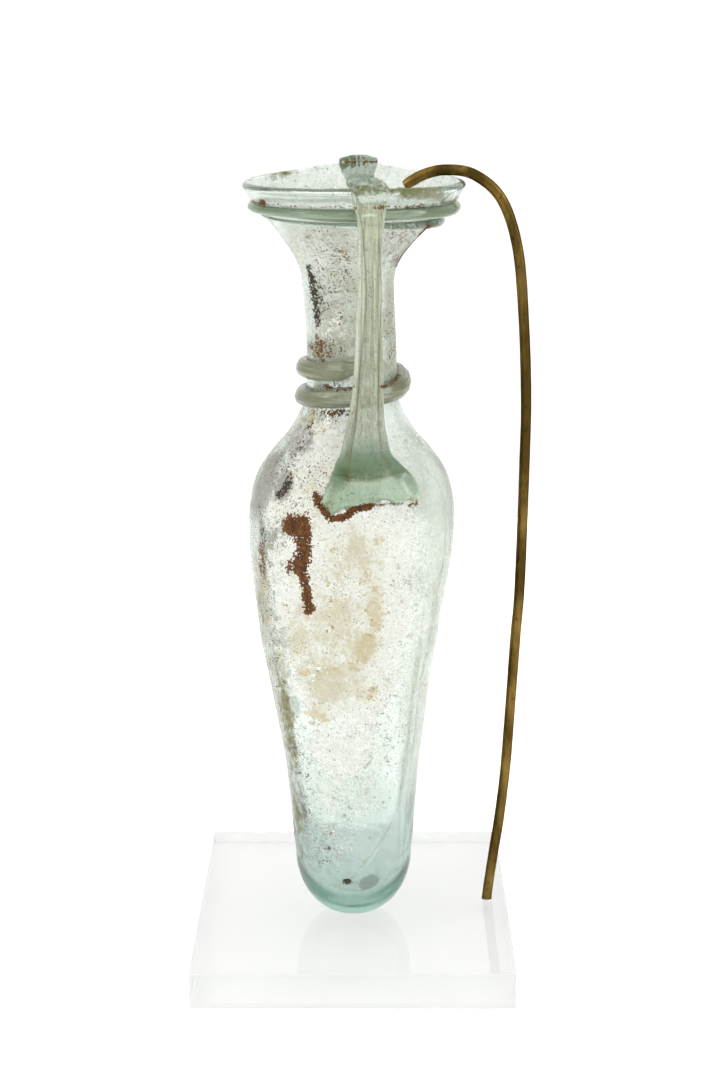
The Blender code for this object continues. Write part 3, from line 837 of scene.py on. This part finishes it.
def stroke(strength, width, *places):
    """A soft line through pixels of the photograph, which falls through half its strength at its edges."""
    nearest = np.full(len(coordinates), 1e9)
    for start, end in zip(places, places[1:]):
        start, run = np.array(start), np.subtract(end, start)
        share = np.clip((seen_at - start) @ run / (run @ run), 0, 1)
        away = seen_at - start - share[:, None] * run
        nearest = np.minimum(nearest, np.hypot(away[:, 0], away[:, 1]))
    return strength * np.clip(1.5 - nearest / (width / 2), 0, 1)


def strongest(patches, strokes=(), side=near_side):
    found = [patch(*values) for values in patches] + [stroke(*values) for values in strokes]
    return np.max(found, axis=0) * side


def far_side(size, seed, lowest, highest, share):
    """Blotches for the side that the picture hides, between two heights. Its right stays clear, as the picture
    shows through the clear glass in front of it."""
    blotches = share - 0.3 * local[:, 0] / 30 + 0.9 * rumple(local, size, seed)
    border = heights + 16 * rumple(local, 14, seed + 3)
    between = ease(lowest - 14, lowest + 14, border) * (1 - ease(highest - 8, highest + 8, border))
    return blotches * (1 - near_side) * between


def paint(name, values):
    made = flask.data.attributes.new(name, "FLOAT", "POINT")
    made.data.foreach_set("value", np.clip(values, 0, 1).astype(np.float32))
    print(f"{name}: {np.mean(values > 0.5):.0%} of the points are over a half")


# %% Milky weathering and the film
MILKY = [
    (1.0, 343, 590, 76, 118), (1.0, 325, 500, 62, 52), (0.95, 322, 455, 34, 40, -25), (0.9, 345, 690, 50, 34),
    (0.64, 345, 738, 44, 58), (0.42, 345, 800, 38, 60), (0.36, 330, 310, 22, 60), (0.48, 336, 337, 26, 14),
    (0.4, 320, 250, 36, 30), (0.42, 405, 440, 26, 36, 20), (0.46, 405, 245, 24, 24),
]
FILM = [
    (0.68, 340, 310, 27, 80), (0.5, 322, 245, 56, 30), (0.62, 392, 330, 12, 80), (0.52, 400, 250, 30, 30),
    (0.36, 345, 770, 50, 90), (0.4, 415, 470, 40, 60), (0.42, 262, 640, 16, 120, -8), (0.42, 430, 600, 30, 190, 6),
]
milky = strongest(MILKY) + far_side(24, 11, 55, 190, 0.1)
milky = np.where(on_cane, 0, milky * (0.72 + 0.28 * outside))
paint("milky", milky)
film = 0.1 + 0.06 * rumple(local * (1, 1, 0.25), 9, 12) + far_side(20, 13, 95, 190, 0.05)
in_the_mouth = (1 - near_side) * ease(212, 218, heights)
film = np.maximum(film, strongest(FILM)) * np.where(part_of == INSIDE_PART, 0.5, 1)
film = np.maximum(film, 0.3 * in_the_mouth)
thick_bottom = 1 - ease(22, 55, heights)
paint("film", np.where(on_cane, 0, np.maximum(film * ease(10, 50, heights), 0.13 * thick_bottom)))

# %% Yellow-green stains
MOSS = [
    (1.05, 412, 191, 26, 7, 3), (0.85, 432, 193, 16, 8, 8), (0.78, 366, 190, 20, 8), (0.75, 299, 825, 4, 44, -6),
    (0.5, 330, 505, 8, 12), (0.55, 380, 500, 30, 3), (0.62, 264, 640, 6, 90, -7), (0.72, 288, 725, 9, 70, -9),
    (0.6, 300, 208, 50, 3), (0.55, 333, 500, 5, 16, -10), (0.6, 414, 500, 6, 14, -10), (0.5, 350, 450, 6, 26),
    (0.5, 312, 398, 40, 3), (0.45, 345, 262, 22, 14, -35), (0.5, 390, 262, 12, 22, 30), (0.42, 372, 330, 10, 60),
    (0.4, 332, 350, 26, 12), (0.4, 330, 250, 44, 26),
]
MOUTH_BACK = [
    # on the far side of the mouth, seen over the front lip
    (0.75, 284, 172, 24, 7, -22), (0.45, 330, 165, 30, 10), (0.5, 440, 176, 20, 8, 10),
]
CREAM_PATCHES = [
    (0.6, 350, 560, 22, 36), (0.8, 340, 625, 34, 46), (0.9, 330, 680, 36, 24), (0.35, 310, 500, 30, 30),
    (0.7, 300, 650, 14, 60),
]
moss = strongest(MOSS) + far_side(15, 61, 90, 215, 0.0)
paint("moss", np.maximum(moss, strongest(MOUTH_BACK, side=in_the_mouth)))
paint("cream", strongest(CREAM_PATCHES) + far_side(30, 71, 30, 200, 0.4))

# %% Soil, stains and painted shade
SOIL_PATCHES = [
    (1.0, 295, 526, 13, 13), (0.9, 305, 536, 7, 18, 8), (0.9, 297, 566, 11, 10), (0.9, 307, 594, 5, 19, -12),
    (0.55, 262, 560, 4, 26, -6), (0.8, 262, 203, 6, 4), (0.62, 340, 413, 16, 5), (0.55, 318, 345, 10, 12),
    (0.3, 404, 242, 20, 24), (0.22, 335, 252, 22, 14), (0.3, 322, 350, 16, 12), (0.34, 362, 692, 9, 6),
    (0.28, 328, 838, 14, 22),
]
SOIL_STROKES = [
    (0.9, 18, (301, 522), (304, 545), (302, 562)), (0.9, 11, (302, 562), (306, 590), (309, 610)),
    (1.0, 8, (316, 495), (320, 507), (331, 518), (343, 518), (354, 510), (370, 506)),
    (0.62, 3, (370, 506), (392, 503), (410, 504), (419, 503)), (0.62, 6, (322, 412), (336, 413), (346, 414)),
    (0.6, 6, (325, 388), (340, 390), (352, 388)), (0.75, 5, (382, 387), (392, 383), (399, 376)),
    (0.56, 4, (376, 207), (420, 207), (455, 200), (462, 196)), (0.5, 4, (250, 201), (300, 206), (345, 207)),
    (0.85, 5, (429, 226), (418, 240), (404, 255), (398, 266)),
    (0.85, 2.5, (341, 163), (352, 163), (365, 162), (378, 161)), (0.5, 3, (348, 208), (382, 208)),
]
STAIN_PATCHES = [
    (0.76, 376, 605, 12, 34), (0.7, 379, 540, 8, 14), (0.62, 366, 570, 9, 24), (0.9, 366, 648, 14, 20, 35),
    (0.7, 320, 672, 36, 9), (0.66, 356, 666, 16, 10), (0.74, 317, 716, 16, 16), (0.48, 335, 560, 26, 34),
    (0.52, 338, 615, 26, 22), (0.66, 372, 694, 16, 10), (0.7, 264, 590, 7, 60, -6), (0.8, 285, 700, 8, 60, -9),
    (0.6, 300, 640, 12, 20), (0.7, 318, 422, 22, 14, -20), (0.66, 346, 258, 22, 14, -35),
    (0.55, 330, 350, 26, 16), (0.62, 300, 830, 8, 40, -8),
]
# Painted shade: plum grey down the body's left side and over its left shoulder
PAINTED_SHADE_PATCHES = [
    (0.95, 266, 482, 13, 50, 20), (1.4, 284, 486, 9, 16, 20), (0.8, 300, 440, 18, 26, 35),
    (0.7, 262, 545, 5, 40, -3), (0.5, 330, 440, 16, 22), (0.6, 318, 300, 8, 40, -4),
]
CHAR_STROKES = [
    (0.72, 7, (308, 266), (311, 278), (315, 300), (318, 324)), (0.82, 8, (311, 276), (315, 298)),
    (0.54, 17, (315, 284), (320, 310)), (1.6, 5, (346, 881), (350, 881)),
    (0.85, 9, (279, 496), (287, 486), (291, 476)), (0.5, 10, (286, 470), (300, 448), (312, 425)),
    (0.55, 6, (259, 505), (262, 530), (266, 560)), (0.45, 14, (318, 335), (330, 352), (340, 350)),
]
soil = strongest(SOIL_PATCHES, SOIL_STROKES) + far_side(11, 21, 70, 200, -0.05)
paint("soil", soil * np.where(part_of == INSIDE_PART, 0, np.where(on_cane, 0.9, 1)))
paint("stains", np.where(on_cane, 0, strongest(STAIN_PATCHES) + far_side(17, 31, 85, 225, 0.15)))
# the painted shade, and patches of it on the far side between 120 and 170 mm
paint("gloom", strongest(PAINTED_SHADE_PATCHES) * outside + far_side(20, 41, 120, 170, -0.2))
paint("char", strongest([], CHAR_STROKES) * outside)

# %% Specks and the stained thread
SPECK_PATCHES = [
    (0.8, 300, 480, 50, 60), (0.5, 330, 600, 70, 110), (0.8, 300, 790, 22, 90, -6), (0.72, 318, 850, 28, 34),
    (0.85, 335, 290, 34, 60), (0.8, 325, 240, 40, 24), (1.1, 322, 348, 24, 16), (1.3, 405, 246, 26, 26),
    (0.9, 392, 330, 12, 60), (0.6, 390, 740, 40, 90), (0.5, 330, 190, 100, 16), (0.9, 330, 400, 40, 30),
    (0.8, 270, 640, 14, 120, -7),
]
THREAD = [(0.9, 2.5, (392, 822), (383, 838), (370, 857), (356, 873), (345, 882), (334, 889))]
specks = np.maximum(strongest(SPECK_PATCHES), 0.28 + 0.3 * rumple(local, 14, 51))
specks = np.maximum(specks, 0.5 * in_the_mouth)
paint("specks", np.where(on_cane, 0.5, specks))
paint("thread", strongest([], THREAD) * outside)
paint("grey_spot", strongest([(1.0, 369, 882, 11, 7, -25)]) * outside)

# %% Colours of the handle and the trails
STRAP_TONES = [
    # place across the strap from -1 at the left to 1 at the right, how pale, how brown
    (-1.00, 0.95, 0.0), (-0.84, 0.85, 0.0), (-0.72, 0.5, 0.1), (-0.64, 0.05, 1.0), (-0.55, 0.4, 0.2),
    (-0.4, 0.65, 0.0), (-0.16, 0.6, 0.0), (-0.08, 0.25, 0.3), (0.02, 0.6, 0.0), (0.16, 0.7, 0.0),
    (0.24, 0.3, 0.3), (0.36, 1.00, 0.0), (0.48, 0.9, 0.1), (0.61, 0.15, 0.8), (0.72, 0.6, 0.1),
    (0.9, 0.8, 0.0), (1.00, 0.9, 0.0),
]
PAD_GREEN = [
    (1.3, 367, 460, 30, 17), (1.0, 340, 472, 12, 20, 30), (1.0, 398, 470, 24, 10, 40),
]
sideways = local[:, 0] * math.cos(HANDLE_AZIMUTH) + local[:, 1] * math.sin(HANDLE_AZIMUTH)
stations = np.array(STRAP_STATIONS).T
strap_middle = np.interp(heights, stations[0], stations[6])
strap_half = np.interp(heights, stations[0], stations[3] / 2)
across = np.clip((sideways - strap_middle) / strap_half, -1, 1)
on_strap = on_handle & (heights > PAD_TOP)
tones = np.array(STRAP_TONES).T
pale = np.interp(across, tones[0], tones[1])
brown = np.interp(across, tones[0], tones[2])
pale = pale * (1 - 0.45 * ease(190, 166, heights)) + 0.2 * ease(200, 214, heights)
fade = 1 - ease(228, 231, heights)
# A painted highlight: a bright band across the strap at about 227 mm, where it bends towards the lip
pale = pale * fade + 0.45 * (1 - fade) + 1.0 * bell(227, 2.8, heights)
paint("pale", np.where(on_strap, pale, np.where(on_handle, 0.7, 0.0)))
paint("brown", np.where(on_strap, brown * fade, 0))
green = np.where(on_handle & (heights < 172), strongest(PAD_GREEN), 0)
green = np.maximum(green, np.where(on_handle, 0.85 * ease(233, 239, heights), 0))
on_mouth_trail = on_trail & (heights > 205)
paint("green", np.maximum(green, np.where(on_mouth_trail, 0.62 + 0.28 * ease(0, -18, local[:, 0]), 0)))
fold = 150.4 + 1.2 * rumple(local * (1, 1, 0.4), 5, 71)
paint("aqua", np.where(on_handle, ease(1.2, -1.2, heights - fold), thick_bottom))
cover = np.where(on_trail, 0.76 - 0.46 * ease(220, 222, heights) * ease(225.6, 224.2, heights), 0.48)
cover = np.where(on_handle, np.maximum(cover, 0.8 * ease(166, 156, heights)), cover)
paint("cover", np.where(on_cane, cover, 0))
paint("cane", on_cane * 1.0)
paint("wound", on_trail * 1.0)

# %% [markdown]
# The glass itself is a mix. Where it is clean it is a clear dielectric, and its green comes from inside: light is
# absorbed along its way through the glass, so thin walls are pale and the thick bottom is teal. Where it is
# weathered, an opaque skin takes over, white and cream on the body and olive on the handle and the trails, which
# are full of fine streaks and bubbles. Soil lies on top of all.
# %% Flask finish
GLASS_IOR = 1.5
GLASS_GREEN = (0.3, 0.68, 0.57, 1)
GLASS_DENSITY = 56.0
DOTS_PER_METRE = 1250.0
UPRIGHT_STREAKS = (1500.0, 1500.0, 45.0, 1)  # per metre along each axis, on the handle
WOUND_STREAKS = (60.0, 60.0, 1500.0, 1)  # and on the trails
CREAM = (0.7, 0.63, 0.47, 1)
SILVER = (0.97, 0.97, 0.93, 1)
LIT_THROUGH = (0.95, 0.95, 0.88, 1)
FRECKLE = (0.2, 0.145, 0.085, 1)
FILM_GREY = (0.5, 0.51, 0.38, 1)
TAN = (0.47, 0.37, 0.16, 1)
MOSS_GREEN = (0.115, 0.12, 0.018, 1)
# the colour of the painted shade
SHADE_PLUM_GREY = (0.16, 0.148, 0.14, 1)
CHARCOAL = (0.045, 0.038, 0.03, 1)
SOIL_DARK = (0.035, 0.014, 0.006, 1)
SOIL_LIGHT = (0.18, 0.082, 0.034, 1)
SPECK = (0.035, 0.02, 0.01, 1)
RUST = (0.15, 0.055, 0.015, 1)
OLIVE_DARK = (0.14, 0.135, 0.045, 1)
OLIVE_PALE = (0.66, 0.68, 0.48, 1)
GROOVE_BROWN = (0.11, 0.09, 0.022, 1)
SEA_GREEN = (0.06, 0.14, 0.045, 1)
AQUA = (0.27, 0.4, 0.27, 1)
TEAL = (0.15, 0.35, 0.29, 1)
THREAD_GREEN = (0.36, 0.42, 0.16, 1)
SPOT_GREY = (0.19, 0.23, 0.21, 1)


def flask_finish():
    f = Finish("weathered_green_glass")
    place = f.node("TexCoord", {}, {}, "Object")
    blotch = f.noise(place, 0.009, 3, 0.6)
    flake = f.noise(place, 0.0026, 4, 0.75)
    grain = f.noise(place, 0.0007, 1, 0.6)
    dots = f.node("TexVoronoi", {"feature": "F1"}, {"Vector": place, "Scale": DOTS_PER_METRE}, "Distance")
    chance = f.node("SeparateColor", {}, {"Color": f.also(dots, "Color")}, "Red")
    names = ("cane", "wound", "aqua", "brown", "specks")
    cane, wound, aqua, brown_lines, sprinkled = (f.painted(name) for name in names)

    drawn = f.mix(wound, UPRIGHT_STREAKS, WOUND_STREAKS)
    streak_place = f.node("VectorMath", {"operation": "MULTIPLY"}, {0: place, 1: drawn})
    streak = f.node("TexNoise", {}, {"Vector": streak_place, "Scale": 1.0, "Detail": 2.0, "Roughness": 0.7})
    streak = (streak - 0.5) * 2.4

    milky = f.step(f.painted("milky") + blotch * 0.45 + flake * 0.7 + grain * 0.4, 0.36, 0.6)
    stains = f.step(f.painted("stains") + blotch * 0.5 + flake * 1.1 + grain * 0.4, 0.5, 0.8)
    moss = f.step(f.painted("moss") + blotch * 0.3 + flake * 1.0 + grain * 0.5 + streak * 0.2, 0.3, 1.05)
    # painted shade, broken up by flakes, streaks and blotches
    gloom = f.step(f.painted("gloom") + flake * 0.6 + streak * 0.3 + blotch * 0.3, 0.4, 0.95)
    char = f.step(f.painted("char") + flake * 0.8 + grain * 0.9, 0.5, 0.75)
    soil = f.step(f.painted("soil") + flake * 0.9 + grain * 0.8, 0.48, 0.6)
    crumbs = sprinkled * chance * chance * 0.36 + grain * 0.16 + flake * 0.1
    pepper = f.noise(place, 0.0006, 1, 0.6) + flake * 0.6 + sprinkled * 0.55
    specks = f.greatest(f.step(crumbs - dots, -0.02, 0.04), f.step(pepper, 0.62, 0.78) * 0.8)
    freckles = f.step(flake + grain * 1.5, 0.1, 0.6)
    thread = f.step(f.painted("thread") + flake * 0.5, 0.35, 0.8)
    spot = f.step(f.painted("grey_spot") + flake * 0.3, 0.3, 0.8)

    whiter = blotch * 0.7 + flake * 1.5 + grain * 0.6 + 0.3 - f.painted("cream") * 0.5
    enamel = f.mix(f.step(whiter, -0.3, 0.16), CREAM, SILVER)
    veins = f.step(f.noise(place, 0.0042, 5, 0.8) ** 2, 0.01, 0.0)
    lined = streak * (0.55 + wound * 0.35) - wound * 0.1
    # pale carries the strap's tones and its painted highlight near the top
    olive = f.mix(f.painted("pale") * 0.85 + lined + flake * 0.25, OLIVE_DARK, OLIVE_PALE)
    olive = f.layered(
        olive,
        (aqua * 0.85 + flake * 0.2, AQUA),
        (f.painted("green") + flake * 0.35, SEA_GREEN),
        (f.step(brown_lines + flake * 0.5, 0.35, 0.8) * 0.8, GROOVE_BROWN),
    )
    film_colour = f.mix(aqua, FILM_GREY, TEAL)
    skin_colour = f.layered(
        film_colour,
        (f.step(milky + flake, 0.0, 0.6), enamel),
        (f.greatest(freckles * 0.46, veins * 0.18), FRECKLE),
        (stains * (0.68 + flake * 0.5), TAN),
        # painted shade in plum grey
        (gloom * 0.8, SHADE_PLUM_GREY),
        (cane, olive),
        (moss * 0.97, MOSS_GREEN),
        (thread * 0.8, THREAD_GREEN),
        (spot, SPOT_GREY),
    )
    earth_colour = f.mix(flake * 1.2 + grain * 0.9 + 0.42, SOIL_DARK, SOIL_LIGHT)
    rusty = f.step(f.also(chance, "Green"), 0.6, 0.7)
    dirt_colour = f.layered(SPECK, (rusty, RUST), (char, CHARCOAL), (soil, earth_colour))

    relief = flake * 0.55 + blotch * 0.45
    rough_bump = f.node("Bump", {}, {"Strength": 0.3, "Distance": 0.0005, "Height": relief + grain * 0.2}, "Normal")
    soft_bump = f.node("Bump", {}, {"Strength": 0.06, "Distance": 0.0005, "Height": relief}, "Normal")
    glass = f.principled(WHITE, 0.04, {"IOR": GLASS_IOR, "Transmission Weight": 1.0, "Normal": soft_bump})
    coat = {"Coat Weight": cane * 0.6, "Coat Roughness": 0.08}
    skin = f.principled(skin_colour, 0.6 - cane * 0.25, {"Normal": rough_bump, **coat})
    lit_through = f.node("BsdfTranslucent", {}, {"Color": LIT_THROUGH})
    held_back = f.greatest(cane * 0.22, gloom * 0.25, stains * 0.15, moss * 0.32)
    skin = f.blend(0.34 - held_back, skin, lit_through)
    thin = f.painted("film") * (1 + blotch * 0.8 + flake * 0.6) + streak * 0.08
    body_cover = f.greatest(milky * 0.93, thin, stains * 0.4, gloom * 0.8, thread * 0.5, spot * 0.85)
    cane_cover = f.painted("cover") + brown_lines * 0.25 + streak * 0.2
    hidden = f.greatest(body_cover * (1 - cane), cane_cover, moss * 0.95)
    dirt = f.principled(dirt_colour, 0.9, {"Specular IOR Level": 0.1, "Normal": rough_bump})
    f.surface(f.blend(f.greatest(char, specks, soil), f.blend(hidden, glass, skin), dirt))
    f.absorbing(GLASS_GREEN, GLASS_DENSITY)
    return f.material


flask.data.materials.clear()
flask.data.materials.append(flask_finish())
flask.data.shade_smooth()
flask.data.set_sharp_from_angle(angle=math.radians(70))
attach(flask, "root")
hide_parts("flask")
print("flask:", [round(v / MM, 1) for v in flask.dimensions], "mm")

# %% [markdown]
# The stand's rod is 3.2 mm brass, bent by hand: nearly straight at the foot, bowed outward, then hooked over the
# lip. Its route follows the solid's own, and a finer tube with a filed end takes its place.
# %% Brass rod
ROD_RADIUS = 1.6
ROD_ROUTE = [
    # x and height in millimetres
    (43.8, 3.6), (43.8, 12.0), (45.6, 27.5), (47.3, 40.4), (49.0, 58.3), (50.2, 80.6), (51.3, 103.0), (52.3, 120.8),
    (52.9, 160.9), (52.9, 180.0), (51.7, 203.5), (49.4, 225.2), (44.4, 239.7), (36.3, 246.9), (28.2, 248.4),
    (21.7, 247.2), (15.5, 243.9),
]
ROD_SIDES = 24
ROD_RINGS = 220
FILED_END = (0.93, 0.72)  # shares of the radius at the last two rings


def rod_stations():
    lowest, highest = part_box("support_rod")
    line = smooth_line([(x, 0.0, z, ROD_RADIUS) for x, z in ROD_ROUTE], ROD_RINGS)
    line[:, 3] *= 1 + 0.012 * np.sin(line[:, 2] * 0.21) + 0.008 * np.sin(line[:, 2] * 0.83)
    line[-2:, 3] *= FILED_END
    print("the solid rod spans", [round(v / MM, 1) for v in (*lowest, *highest)])
    return line


def rod():
    points, faces = thread(rod_stations(), ROD_RINGS, ROD_SIDES)
    mesh = mesh_of("brass_rod", (points * MM).tolist(), faces)
    mesh.shade_smooth()
    mesh.set_sharp_from_angle(angle=math.radians(50))
    return placed("brass_rod", mesh)


brass_rod = rod()
print("rod:", [round(v / MM, 1) for v in brass_rod.dimensions], "mm")

# %% [markdown]
# Old brass is brown where it is handled least and golden where it rubs. Drawing left fine lines along the rod.
# %% Brass finish
BRASS_BRIGHT = (0.22, 0.14, 0.036, 1)
BRASS_BROWN = (0.07, 0.044, 0.01, 1)
BRASS_DARK = (0.03, 0.018, 0.008, 1)
BRASS_EDGE = (0.35, 0.25, 0.12, 1)


def brass_finish():
    f = Finish("aged_brass")
    place = f.node("TexCoord", {}, {}, "Object")
    tarnish = f.noise(place, 0.01, 5, 0.6, (1, 1, 0.3))
    spots = f.noise(place, 0.0018, 4, 0.65)
    lines = f.noise(place, 0.0004, 3, 0.6, (1, 1, 0.04))
    browned, dark = f.step(tarnish, -0.25, 0.2), f.step(spots, 0.12, 0.35) * 0.7
    colour = f.layered(BRASS_BRIGHT, (browned, BRASS_BROWN), (dark, BRASS_DARK))
    rough = 0.34 + tarnish * 0.12 + lines * 0.08
    bump = f.node("Bump", {}, {"Strength": 0.25, "Distance": 0.0002, "Height": spots * 0.7 + lines * 0.3}, "Normal")
    f.surface(f.principled(colour, rough, {"Metallic": 1.0, "Normal": bump, "Specular Tint": BRASS_EDGE}))
    return f.material


brass_rod.data.materials.append(brass_finish())
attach(brass_rod, "root")
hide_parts("support_rod")

# %% [markdown]
# The block is cast acrylic. Its top and sides are polished. Its underside is matt, and its arrises were only
# sanded, so they show as faint lines. The rod's hole is drilled from above. The rest of its looks is refraction.
# %% Acrylic block
ARRIS = 0.3
HOLE_RADIUS = 1.9
HOLE_FLOOR = 3.0
SQUARE = 0.999
SMALL_FACE_AREA = 2e-4  # the large faces are dead flat, so only smaller ones are shaded round


def acrylic_block():
    lowest, highest = (Vector(v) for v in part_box("base_block"))
    bpy.ops.mesh.primitive_cube_add(size=1)
    made = bpy.context.object
    made.name = made.data.name = "acrylic_block"
    made.data.transform(Matrix.Translation((lowest + highest) / 2) @ Matrix.Diagonal((*(highest - lowest), 1)))
    edge = made.modifiers.new("Sanded arris", "BEVEL")
    edge.width = ARRIS * MM
    edge.segments = 3
    bpy.ops.mesh.primitive_cylinder_add(vertices=64, radius=HOLE_RADIUS * MM, depth=0.02)
    drill = bpy.context.object
    drill.location = (ROD_ROUTE[0][0] * MM, 0, HOLE_FLOOR * MM + 0.01)
    hole = made.modifiers.new("Rod hole", "BOOLEAN")
    hole.operation = "DIFFERENCE"
    hole.object = drill
    graph = bpy.context.evaluated_depsgraph_get()
    mesh = bpy.data.meshes.new_from_object(made.evaluated_get(graph), depsgraph=graph)
    made.modifiers.clear()
    made.data = mesh
    bpy.data.objects.remove(drill)
    sanded = mesh.attributes.new("sanded", "FLOAT", "FACE")
    for face in mesh.polygons:
        face.use_smooth = face.area < SMALL_FACE_AREA
        slanting = max(abs(v) for v in face.normal) < SQUARE
        from_hole = math.hypot(face.center.x - ROD_ROUTE[0][0] * MM, face.center.y) / MM
        underside = face.normal.z < -SQUARE and face.center.z < HOLE_FLOOR * MM / 2
        sanded.data[face.index].value = float(underside or slanting and from_hole > 2 * HOLE_RADIUS)
    return made


ACRYLIC_IOR = 1.49
ACRYLIC_TINT = (0.9, 0.93, 0.94, 1)
ACRYLIC_DENSITY = 6.0
SANDED_WHITE = (0.76, 0.76, 0.75, 1)

block = acrylic_block()
clear = Finish("clear_acrylic")
scuffs = clear.noise(clear.node("TexCoord", {}, {}, "Object"), 0.004, 5, 0.6)
haze = clear.step(scuffs, 0.2, 0.5) * 0.05
polished = clear.principled(WHITE, haze, {"IOR": ACRYLIC_IOR, "Transmission Weight": 1.0})
frost = clear.principled(SANDED_WHITE, 0.6, {"Alpha": 0.6})
clear.surface(clear.blend(clear.painted("sanded"), polished, frost))
clear.absorbing(ACRYLIC_TINT, ACRYLIC_DENSITY)
block.data.materials.clear()
block.data.materials.append(clear.material)
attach(block, "root")
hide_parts("base_block")
print("block:", len(block.data.polygons), "faces")
